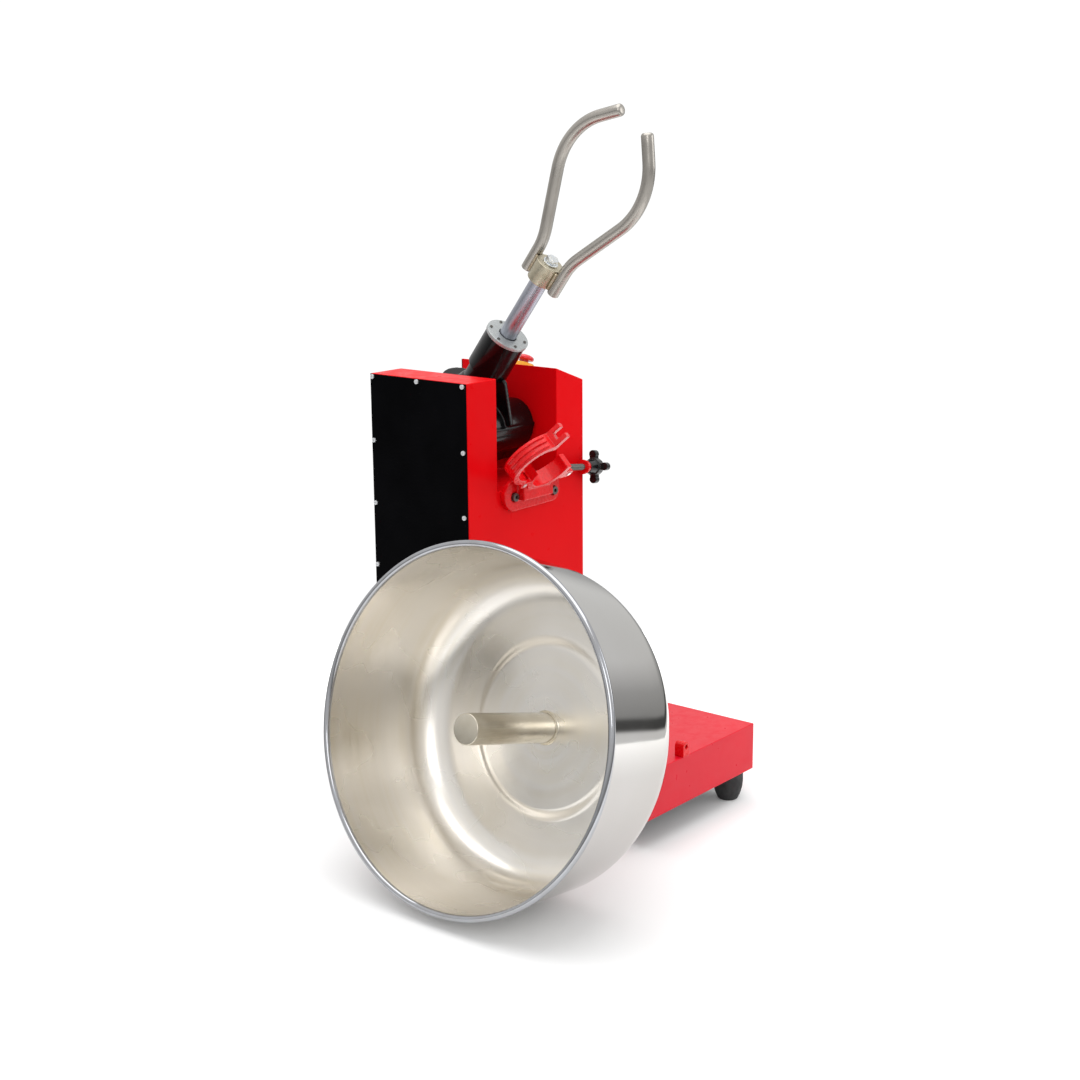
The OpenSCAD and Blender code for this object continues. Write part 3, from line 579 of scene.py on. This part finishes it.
def swept_mesh(name, path, radii, across, sides):
    """A round bar along path (metres), its radius given at each point, its ends closed."""
    bm = bmesh.new()
    rings = []
    for i, point in enumerate(path):
        ahead = path[min(i + 1, len(path) - 1)] - path[max(i - 1, 0)]
        ahead.normalize()
        side = (across - ahead * across.dot(ahead)).normalized()
        other = ahead.cross(side)
        rings.append([bm.verts.new(point + (side * math.cos(a) + other * math.sin(a)) * radii[i])
                      for a in (math.tau * k / sides for k in range(sides))])
    for low, high in zip(rings, rings[1:]):
        for k in range(sides):
            n = (k + 1) % sides
            bm.faces.new([low[k], low[n], high[n], high[k]])
    bm.faces.new(rings[0][::-1])
    bm.faces.new(rings[-1])
    return mesh_from(bm, name, 40)


def joined(meshes, name):
    """Several meshes made into one."""
    bm = bmesh.new()
    for mesh in meshes:
        bm.from_mesh(mesh)
        bpy.data.meshes.remove(mesh)
    return mesh_from(bm, name, 40)


def paint(finish_name, slot, *nodes):
    """Gives frame nodes whose shape is right as it is their material."""
    for node in nodes:
        data = NODES[node].data
        data.materials.clear()
        data.materials.append(finish(finish_name))


# ---- settings ------------------------------------------------------------------------


class MixerColours(bpy.types.PropertyGroup):
    """Colours of the finishes that a user would change."""

    red: bpy.props.FloatVectorProperty(
        name="Enamel", description="Paint of the cabinet and the clamp", subtype="COLOR",
        size=3, min=0, max=1, default=(0.74, 0.002, 0.005))
    base_red: bpy.props.FloatVectorProperty(
        name="Base enamel", description="Paint of the base, a shade paler", subtype="COLOR",
        size=3, min=0, max=1, default=(0.66, 0.002, 0.018))
    black: bpy.props.FloatVectorProperty(
        name="Black", description="Paint of the covers and the head", subtype="COLOR",
        size=3, min=0, max=1, default=(0.0015, 0.0015, 0.0018))
    yellow: bpy.props.FloatVectorProperty(
        name="Collar", description="Plastic under the stop button", subtype="COLOR",
        size=3, min=0, max=1, default=(0.9, 0.5, 0.01))
    bowl: bpy.props.FloatVectorProperty(
        name="Bowl inside", description="Satin steel inside the bowl", subtype="COLOR",
        size=3, min=0, max=1, default=(0.8, 0.77, 0.725))
    fork: bpy.props.FloatVectorProperty(
        name="Fork", description="Brushed steel of the fork's bars", subtype="COLOR",
        size=3, min=0, max=1, default=(0.42, 0.395, 0.36))
    floor: bpy.props.FloatVectorProperty(
        name="Floor", description="Floor under the mixer", subtype="COLOR",
        size=3, min=0, max=1, default=(0.86, 0.86, 0.86))


class MixerSizes(bpy.types.PropertyGroup):
    """Sizes of the detail that the frame leaves open."""

    sheet_ease: bpy.props.FloatProperty(
        name="Sheet edge", description="Rounding of the bent sheet's edges in millimetres",
        default=1.5, min=0.2, max=3)
    cast_grid: bpy.props.FloatProperty(
        name="Casting grid", description="Grid on which castings are softened in millimetres",
        default=0.9, min=0.5, max=3)
    bowl_sides: bpy.props.IntProperty(
        name="Bowl sides", description="Number of steps around the bowl", default=224, min=64,
        max=360)
    fork_turn: bpy.props.FloatProperty(
        name="Fork turn", description="Turn of the fork about its shaft at rest",
        subtype="ANGLE", default=math.radians(-89))


# ---- base ----------------------------------------------------------------------------


class MIXER_OT_base(bpy.types.Operator):
    """Long sheet steel base with its bottom plate, the bowl's seat and a small lug"""

    bl_idname = "mixer.base"
    bl_label = "Base"

    def execute(self, context):
        sizes = context.scene.mixer_sizes
        eased("base_box", "base_enamel", sizes.sheet_ease, 3, shortest=60)
        eased("bowl_seat", "grey_steel", 0.6)
        cast("bowl_lug", "red_cast", 0.5, 6)
        paint("dark_sheet", "dark_sheet", "base_plate")
        eased("seat_screws", "zinc", 0.2)
        return {"FINISHED"}


# Where the feet stand in the drawing; the front left one stands further back
FOOT_PLACES = ((-116, -285), (116, -333), (-116, 186), (116, 186))


class MIXER_OT_feet(bpy.types.Operator):
    """Round-sided rubber feet and the screws that hold them"""

    bl_idname = "mixer.feet"
    bl_label = "Rubber feet"

    def execute(self, context):
        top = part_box("rubber_feet")[1].z * 1000
        outline = rounded([(8.5, 0), (15.5, 0), (17.5, 2.5), (21.5, 12), (24, 22), (25, 32),
                           (25, top), (4.2, top), (4.2, 22), (8.5, 22), (8.5, 0)], 1.4)
        meshes = []
        for x, y in FOOT_PLACES:
            mesh = turned_mesh("foot", outline, 72)
            mesh.transform(Matrix.Translation(drawn(x, y, 0)))
            meshes.append(mesh)
        add_piece("rubber_feet_piece", joined(meshes, "rubber_feet_piece"), "cabinet",
                  "rubber", ["rubber_feet"])
        eased("foot_screws", "zinc", 0.3)
        return {"FINISHED"}


# ---- cabinet -------------------------------------------------------------------------


class MIXER_OT_cabinet(bpy.types.Operator):
    """Bent sheet cabinet with its notch and sloped control panel"""

    bl_idname = "mixer.cabinet"
    bl_label = "Cabinet"

    def execute(self, context):
        eased("cabinet_shell", "red_enamel", context.scene.mixer_sizes.sheet_ease,
              3, shortest=40)
        return {"FINISHED"}


class MIXER_OT_covers(bpy.types.Operator):
    """Flat side and rear covers with their pan head screws"""

    bl_idname = "mixer.covers"
    bl_label = "Covers"

    def execute(self, context):
        for node in ("left_cover", "rear_cover"):
            eased(node, "black_satin", 0.5, 2, shortest=30)
        for node in ("left_cover_screws", "rear_cover_screws"):
            eased(node, "white_zinc", 0.45, 3)
        return {"FINISHED"}


class MIXER_OT_controls(bpy.types.Operator):
    """Stop and start buttons on the sloped panel, and the cable gland"""

    bl_idname = "mixer.controls"
    bl_label = "Controls"

    def execute(self, context):
        eased("estop_collar", "yellow_plastic", 0.8)
        eased("estop_button", "red_plastic", 0.5)
        eased("start_collar", "black_plastic", 0.5)
        eased("start_button", "green_plastic", 0.8)
        eased("cable_gland", "black_plastic", 0.4)
        return {"FINISHED"}


class MIXER_OT_drive(bpy.types.Operator):
    """Motor, belt, worm gear and bearings inside the cabinet and the head"""

    bl_idname = "mixer.drive"
    bl_label = "Drive"

    def execute(self, context):
        paint("grey_motor", "motor_paint", "motor")
        paint("dark_sheet", "dark_sheet", "motor_bracket", "control_box")
        paint("cast_aluminium", "cast_aluminium", "motor_pulley", "drive_pulley")
        paint("rubber", "rubber", "drive_belt")
        paint("ground_steel", "ground_steel", "drive_shaft", "worm", "worm_bearings",
              "shaft_bearings")
        paint("bronze", "bronze", "worm_wheel", "pivot_bushes", "post_bushes")
        paint("grey_steel", "grey_steel", "bearing_plates", "pivot_caps")
        return {"FINISHED"}


# ---- head ----------------------------------------------------------------------------


class MIXER_OT_head(bpy.types.Operator):
    """Cast gear housing and drum that tilt between the cheeks, and the bearing tube"""

    bl_idname = "mixer.head"
    bl_label = "Head"

    def execute(self, context):
        grid = context.scene.mixer_sizes.cast_grid
        cast("head_casting", "black_gloss", grid * 1.5, 5)
        eased("gearbox_cover", "black_gloss", 1.0, 3)
        eased("gearbox_screws", "zinc", 0.3)
        eased("bearing_tube", "black_gloss", 0.8, 3)
        return {"FINISHED"}


class MIXER_OT_flange(bpy.types.Operator):
    """Turned bearing flange, its small screws and the shaft's lip seal"""

    bl_idname = "mixer.flange"
    bl_label = "Bearing flange"

    def execute(self, context):
        outline = rounded([(16, -6), (37.5, -6), (37.5, 0), (16, 0), (16, -6)], 0.7)
        turned_piece("bearing_flange", outline, "turned_aluminium",
                     shaft_place(), 120)
        paint("rubber", "rubber", "shaft_seal")
        eased("flange_screws", "dark_bolt", 0.2)
        return {"FINISHED"}


# ---- fork ----------------------------------------------------------------------------


class MIXER_OT_shaft(bpy.types.Operator):
    """Ground fork shaft with its centre screw and washer"""

    bl_idname = "mixer.shaft"
    bl_label = "Fork shaft"

    def execute(self, context):
        outline = [(0, -178), (14.2, -178), (14.95, -177.2), (14.95, -109), (15, -108.9),
                   (15, 142), (14, 143), (0, 143)]
        turned_piece("fork_shaft", outline, "ground_steel", shaft_place())
        washer = rounded([(6.2, 152), (13, 152), (13, 154.5), (6.2, 154.5), (6.2, 152)], 0.5)
        turned_piece("fork_washer", washer, "zinc", shaft_place(), 72)
        eased("fork_screw", "zinc", 0.5)
        return {"FINISHED"}


# One bar of the fork in millimetres and degrees: its radial and axial start, a straight, a bend
# away from the shaft, a straight, a bend back, and the points of the last straight
BAR_START = (33, 114)
BAR_FIRST = 41
BAR_AWAY_RADIUS, BAR_AWAY_TURN = 100, 22
BAR_MIDDLE = 97
BAR_BACK_RADIUS, BAR_BACK_TURN = 112, -63
BAR_LAST = (13, 26, 38)

# In metres: the bar's radius, its chamfer, and how far past the last straight its rounded tip
# goes, with the radius there
BAR_RADIUS = 0.01
BAR_CHAMFER = 0.0008
BAR_TIP = ((0.0018, 0.0097), (0.0033, 0.0088), (0.0045, 0.0074), (0.005, 0.0062))

# The welds between bars and hub, in millimetres
WELD_STEPS = 60
WELD_RADIUS = 2.9
WELD_RIPPLE, WELD_RIPPLES = 0.25, 13
WELD_OUT, WELD_BESIDE = 24.0, 6.9
WELD_FROM, WELD_LENGTH = 117.5, 33


def bar_centreline():
    """Centreline of one bar as (out from the bar's start, along the shaft, heading)."""
    def straight(point, length):
        x, z, heading = point
        return x + length * math.sin(heading), z + length * math.cos(heading), heading

    def bend(point, radius, turn):
        x, z, heading = point
        sign = math.copysign(radius, turn)
        return (x + sign * (math.cos(heading) - math.cos(heading + turn)),
                z + sign * (math.sin(heading + turn) - math.sin(heading)), heading + turn)

    out = straight((0, 0, 0), BAR_FIRST)
    line = [(0, 0, 0), (0, 14, 0), (0, 28, 0)]
    line += [bend(out, BAR_AWAY_RADIUS, math.radians(BAR_AWAY_TURN * i / 12)) for i in range(13)]
    line += [straight(line[-1], BAR_MIDDLE * i / 5) for i in range(1, 5)]
    start = straight(line[-1], BAR_MIDDLE / 5)
    line += [bend(start, BAR_BACK_RADIUS, math.radians(BAR_BACK_TURN * i / 28))
             for i in range(29)]
    return line + [straight(line[-1], along) for along in BAR_LAST]


def bar_mesh(name):
    """One bar along its centreline, chamfered where it starts and rounded at its tip."""
    out, along = BAR_START
    path = [Vector((out + x, 0, along + z)) / 1000 for x, z, _ in bar_centreline()]
    radii = [BAR_RADIUS] * len(path)
    tip = path[-1]
    ahead = (path[-1] - path[-2]).normalized()
    for reach, radius in BAR_TIP:
        path.append(tip + ahead * reach)
        radii.append(radius)
    radii[0] = BAR_RADIUS - BAR_CHAMFER
    path.insert(1, path[0] + Vector((0, 0, BAR_CHAMFER)))
    radii.insert(1, BAR_RADIUS)
    return swept_mesh(name, path, radii, Vector((0, 1, 0)), 48)


def weld_bead(way):
    """A rippled bead along one side of the bar that lies on the hub, fading at its ends."""
    path, radii = [], []
    for i in range(WELD_STEPS + 1):
        t = i / WELD_STEPS
        ripple = WELD_RIPPLE * abs(math.sin(t * WELD_RIPPLES * math.pi))
        fade = min(1, math.sin(math.pi * min(max(t, 0.02), 0.98)) * 6)
        path.append(Vector((WELD_OUT, way * WELD_BESIDE, WELD_FROM + WELD_LENGTH * t)) / 1000)
        radii.append((WELD_RADIUS + ripple) / 1000 * fade)
    return swept_mesh("weld", path, radii, Vector((1, 0, 0)), 20)


class MIXER_OT_fork(bpy.types.Operator):
    """Two bent bars, the hub between them and the welds that join them"""

    bl_idname = "mixer.fork"
    bl_label = "Fork"

    def execute(self, context):
        turn = context.scene.mixer_sizes.fork_turn
        for name, side in (("lower", 0), ("upper", math.pi)):
            node = f"fork_prong_{name}"
            add_piece(f"{node}_piece", bar_mesh(f"{node}_piece"), "fork",
                      "fork_steel", [node],
                      shaft_place() @ Matrix.Rotation(turn + side, 4, "Z"))
        hub = rounded([(15, 116), (23, 116), (23, 152), (6.2, 152), (6.2, 143), (15, 143),
                       (15, 116)], 0.9)
        turned_piece("fork_hub", hub, "hub_steel", shaft_place())
        beads = []
        for side in (0, math.pi):
            for way in (-1, 1):
                mesh = weld_bead(way)
                mesh.transform(Matrix.Rotation(turn + side, 4, "Z"))
                beads.append(mesh)
        add_piece("fork_welds", joined(beads, "fork_welds"), "fork",
                  "weld_steel", place=shaft_place())
        return {"FINISHED"}


# ---- clamp ---------------------------------------------------------------------------


class MIXER_OT_clamp(bpy.types.Operator):
    """Cast saddle and hinged strap that hold the lowered tube, with their bolts and pins"""

    bl_idname = "mixer.clamp"
    bl_label = "Tube clamp"

    def execute(self, context):
        grid = context.scene.mixer_sizes.cast_grid
        cast("clamp_saddle", "red_cast", grid, 5)
        cast("clamp_strap", "red_cast", grid * 0.8, 4)
        eased("clamp_bolts", "dark_bolt", 0.4)
        eased("strap_pin", "zinc", 0.4)
        eased("swing_pin", "zinc", 0.4)
        return {"FINISHED"}


class MIXER_OT_swing_bolt(bpy.types.Operator):
    """Threaded eye bolt that swings over the strap, its collar and its star knob"""

    bl_idname = "mixer.swing_bolt"
    bl_label = "Swing bolt and knob"

    def execute(self, context):
        eased("swing_bolt", "dark_bolt", 0.3)
        pitch, start, end = 1.5, 12.0, 64.0
        core, root, crest = 4.6, 5.0, 5.55
        thread = [(core, start)]
        for i in range(int((end - start) / pitch)):
            z = start + i * pitch
            thread += [(root, z + 0.15), (crest, z + 0.7), (crest, z + 0.85), (root, z + 1.4)]
        thread += [(core, end)]
        mesh = turned_mesh("swing_bolt_thread", thread, 40, True, crease=60)
        add_piece("swing_bolt_thread", mesh, "bolt", "dark_bolt", place=bolt_place())
        collar = rounded([(5, 66), (12.9, 66), (11, 77), (5, 77), (5, 66)], 1.4)
        turned_piece("clamp_collar", collar, "red_cast", bolt_place(), 64)
        cast("star_knob", "black_plastic", 0.6, 8)
        return {"FINISHED"}


# ---- bowl ----------------------------------------------------------------------------


# The bowl in millimetres and degrees, from the middle of its bottom
BOWL_HEIGHT = 208
BOWL_SHEET = 2
BOWL_LEAN = 6.6
BOWL_CORNER = 59
BOWL_RISE = 6  # the middle of the bottom stands this much higher
WALL_FOOT_R = 244.5  # where the corner runs into the straight wall
WALL_TOP = 198.6  # where the straight wall runs into the rolled rim
BEAD = 5  # radius of the rolled rim


def wall_face(inset):
    """One face of the bowl in [r, z] millimetres, drawn in by inset, and the rim's radius."""
    lean = math.radians(BOWL_LEAN)
    radius = BOWL_CORNER - inset
    corner_r = WALL_FOOT_R - BOWL_CORNER * math.cos(lean)
    wall_foot_z = BOWL_CORNER * (1 - math.sin(lean))
    rim_r = WALL_FOOT_R + (BOWL_HEIGHT - wall_foot_z) * math.tan(lean)
    face = [(corner_r + radius * math.cos(a), BOWL_CORNER + radius * math.sin(a))
            for a in (-math.pi / 2 + i * (math.pi / 2 - lean) / 20 for i in range(21))]
    foot_r, foot_z = face[-1]
    steps = 6
    climb = [(foot_r + (rim_r - inset - foot_r) * i / steps,
              foot_z + (WALL_TOP - foot_z) * i / steps) for i in range(1, steps + 1)]
    raised = BOWL_RISE + inset
    middle = rounded([(15, raised), (124, raised), (136, inset), face[0]], 5, 5)
    return middle + face[1:] + climb, rim_r


class MIXER_OT_bowl(bpy.types.Operator):
    """Spun steel bowl with a polished outside, a satin inside and a rolled rim"""

    bl_idname = "mixer.bowl"
    bl_label = "Bowl"

    def execute(self, context):
        outer, rim_r = wall_face(0)
        inner, _ = wall_face(BOWL_SHEET)
        bead = [(rim_r + BEAD * math.cos(a), BOWL_HEIGHT - BEAD + BEAD * math.sin(a))
                for a in (math.radians(-70 + 10 * i) for i in range(31))]
        profile = outer + bead + inner[::-1]
        zones = [0] * (len(outer) - 1) + [1] * (len(bead) + 1) + [2] * (len(inner) - 1) + [0]
        mesh = turned_mesh("bowl_shell_piece", profile, context.scene.mixer_sizes.bowl_sides,
                           True, zones, 40)
        add_piece("bowl_shell_piece", mesh, "bowl",
                  ("bowl_outside", "bowl_rim", "bowl_inside"), ["bowl_shell"], bowl_place())
        return {"FINISHED"}


class MIXER_OT_post(bpy.types.Operator):
    """Hollow centre post of the bowl, with a weld around its foot"""

    bl_idname = "mixer.post"
    bl_label = "Centre post"

    def execute(self, context):
        outline = rounded([(19, 8), (23, 8), (23, 191.5), (0, 191.5)], 1.6)
        outline += [(0, 187.5), (19, 187.5), (19, 8)]
        turned_piece("bowl_post", outline, "post_steel", bowl_place())
        weld = rounded([(22.6, 8.1), (26.2, 8.1), (24.6, 9.4), (23.4, 11.4), (22.6, 11.4),
                        (22.6, 8.1)], 0.5)
        add_piece("bowl_post_weld", turned_mesh("bowl_post_weld", weld, 96), "bowl",
                  "post_steel", place=bowl_place())
        return {"FINISHED"}


class MIXER_OT_bowl_foot(bpy.types.Operator):
    """Turned foot and plate on which the bowl spins"""

    bl_idname = "mixer.bowl_foot"
    bl_label = "Bowl foot"

    def execute(self, context):
        foot = rounded([(0, -9.5), (30, -9.5), (30, -23.5), (46, -23.5), (46, 0), (12.5, 0),
                        (12.5, 150), (0, 150)], 1.2)
        turned_piece("bowl_foot", foot, "grey_steel", bowl_place())
        plate = rounded([(15, 0.5), (62, 0.5), (62, 6), (15, 6), (15, 0.5)], 0.8)
        turned_piece("bowl_plate", plate, "post_steel", bowl_place())
        eased("bowl_plate_screws", "zinc", 0.2)
        return {"FINISHED"}


# ---- stage ---------------------------------------------------------------------------


# Name, place, point it faces, width in metres and power in watts of each light
LIGHTS = (("overhead", (0.0, 0.1, 3.4), (0, 0, 0), 3.6, 70),
          ("left_front", (-2.9, -2.2, 2.3), (0, 0, 0.4), 1.6, 20),
          ("right_front", (2.6, -2.6, 1.6), (0.1, 0, 0.5), 1.6, 16))

FLOOR_RADIUS = 1.15

# Brightness of the room that metal mirrors, from straight down at 0 to straight up at 1
ROOM_STOPS = ((0.0, 0.9), (0.4, 1.05), (0.407, 0.08), (0.432, 0.1), (0.442, 0.42), (0.5, 0.55),
              (0.56, 0.95), (0.75, 1.0), (1.0, 1.2))
ROOM_STRENGTH = 0.9
BACKDROP_STRENGTH = 1.05

# The camera's angles in degrees, its roll in radians, its place in the drawing and its lens
CAMERA_AZIMUTH, CAMERA_ELEVATION = -50.492, 13.405
CAMERA_ROLL = -0.0081
CAMERA_PLACE = (-2249.13, -1879.82, 1115.4)
CAMERA_LENS, SENSOR_WIDTH = 59.456, 36


def soft_light(name, place, aim, width, power):
    """A square area light at place that faces aim."""
    data = bpy.data.lights.new(name, "AREA")
    data.size = width
    data.energy = power
    light = bpy.data.objects.new(name, data)
    light.location = place
    light.rotation_mode = "QUATERNION"
    light.rotation_quaternion = (Vector(aim) - Vector(place)).to_track_quat("-Z", "Y")
    bpy.context.scene.collection.objects.link(light)


def studio_world():
    """White to the eye; what the metal mirrors is a pale room with a dark skirting."""
    world = bpy.data.worlds.new("studio")
    world.use_nodes = True
    tree = world.node_tree
    tree.nodes.clear()
    new, link = tree.nodes.new, tree.links.new
    backdrop = new("ShaderNodeBackground")
    backdrop.inputs["Color"].default_value = (1, 1, 1, 1)
    backdrop.inputs["Strength"].default_value = BACKDROP_STRENGTH
    room = new("ShaderNodeBackground")
    room.inputs["Strength"].default_value = ROOM_STRENGTH
    height = new("ShaderNodeMapRange")
    height.inputs["From Min"].default_value = -1
    ramp = new("ShaderNodeValToRGB")
    elements = ramp.color_ramp.elements
    for element, (_, value) in zip(elements, (ROOM_STOPS[0], ROOM_STOPS[-1])):
        element.color = (value, value, value, 1)
    for position, value in ROOM_STOPS[1:-1]:
        elements.new(position).color = (value, value, value, 1)
    parts = new("ShaderNodeSeparateXYZ")
    mix = new("ShaderNodeMixShader")
    link(new("ShaderNodeTexCoord").outputs["Generated"], parts.inputs[0])
    link(parts.outputs["Z"], height.inputs["Value"])
    link(height.outputs[0], ramp.inputs["Fac"])
    link(ramp.outputs["Color"], room.inputs["Color"])
    link(new("ShaderNodeLightPath").outputs["Is Camera Ray"], mix.inputs["Fac"])
    link(room.outputs[0], mix.inputs[1])
    link(backdrop.outputs[0], mix.inputs[2])
    link(mix.outputs[0], new("ShaderNodeOutputWorld").inputs["Surface"])
    bpy.context.scene.world = world


def add_camera():
    """A camera left of the front and a little above the mixer, with a long lens."""
    azimuth, elevation = math.radians(CAMERA_AZIMUTH), math.radians(CAMERA_ELEVATION)
    back = Vector((math.sin(azimuth) * math.cos(elevation),
                   -math.cos(azimuth) * math.cos(elevation), math.sin(elevation)))
    right = Vector((0, 0, 1)).cross(back).normalized()
    up = back.cross(right)
    cos, sin = math.cos(CAMERA_ROLL), math.sin(CAMERA_ROLL)
    right, up = right * cos + up * sin, up * cos - right * sin
    data = bpy.data.cameras.new("camera")
    data.sensor_width = SENSOR_WIDTH
    data.lens = CAMERA_LENS
    data.clip_end = 100
    camera = bpy.data.objects.new("camera", data)
    place = Matrix((right, up, back)).transposed().to_4x4()
    place.translation = drawn(*CAMERA_PLACE)
    camera.matrix_world = place
    bpy.context.scene.collection.objects.link(camera)
    bpy.context.scene.camera = camera


class MIXER_OT_stage(bpy.types.Operator):
    """Pale floor that glows towards its rim, soft studio light and the camera"""

    bl_idname = "mixer.stage"
    bl_label = "Stage"

    def execute(self, context):
        bm = bmesh.new()
        bmesh.ops.create_circle(bm, cap_ends=True, segments=128, radius=FLOOR_RADIUS)
        floor = bpy.data.objects.new("floor", mesh_from(bm, "floor"))
        floor.data.materials.append(finish("pale_floor"))
        context.scene.collection.objects.link(floor)
        studio_world()
        for light in LIGHTS:
            soft_light(*light)
        context.scene.view_settings.view_transform = "Standard"
        add_camera()
        return {"FINISHED"}


# ---- panel and registration ----------------------------------------------------------

STEPS = (MIXER_OT_base, MIXER_OT_feet, MIXER_OT_cabinet, MIXER_OT_covers, MIXER_OT_controls,
         MIXER_OT_drive, MIXER_OT_head, MIXER_OT_flange, MIXER_OT_shaft, MIXER_OT_fork,
         MIXER_OT_clamp, MIXER_OT_swing_bolt, MIXER_OT_bowl, MIXER_OT_post, MIXER_OT_bowl_foot,
         MIXER_OT_stage)


class MIXER_PT_steps(bpy.types.Panel):
    """Lists the steps and the settings of the mixer"""

    bl_idname = "MIXER_PT_steps"
    bl_label = "Dough mixer"
    bl_space_type = "VIEW_3D"
    bl_region_type = "UI"
    bl_category = "Dough mixer"

    def draw(self, context):
        for group in (context.scene.mixer_sizes, context.scene.mixer_colours):
            for key in group.__annotations__:
                self.layout.prop(group, key)
        for step in STEPS:
            self.layout.operator(step.bl_idname)


CLASSES = (MixerColours, MixerSizes, *STEPS, MIXER_PT_steps)


def register():
    for item in CLASSES:
        bpy.utils.register_class(item)
    bpy.types.Scene.mixer_colours = bpy.props.PointerProperty(type=MixerColours)
    bpy.types.Scene.mixer_sizes = bpy.props.PointerProperty(type=MixerSizes)


def unregister():
    del bpy.types.Scene.mixer_sizes
    del bpy.types.Scene.mixer_colours
    for item in reversed(CLASSES):
        bpy.utils.unregister_class(item)


def main():
    register()
    for step in STEPS:
        group, name = step.bl_idname.split(".")
        getattr(getattr(bpy.ops, group), name)()


if __name__ == "__main__":
    main()
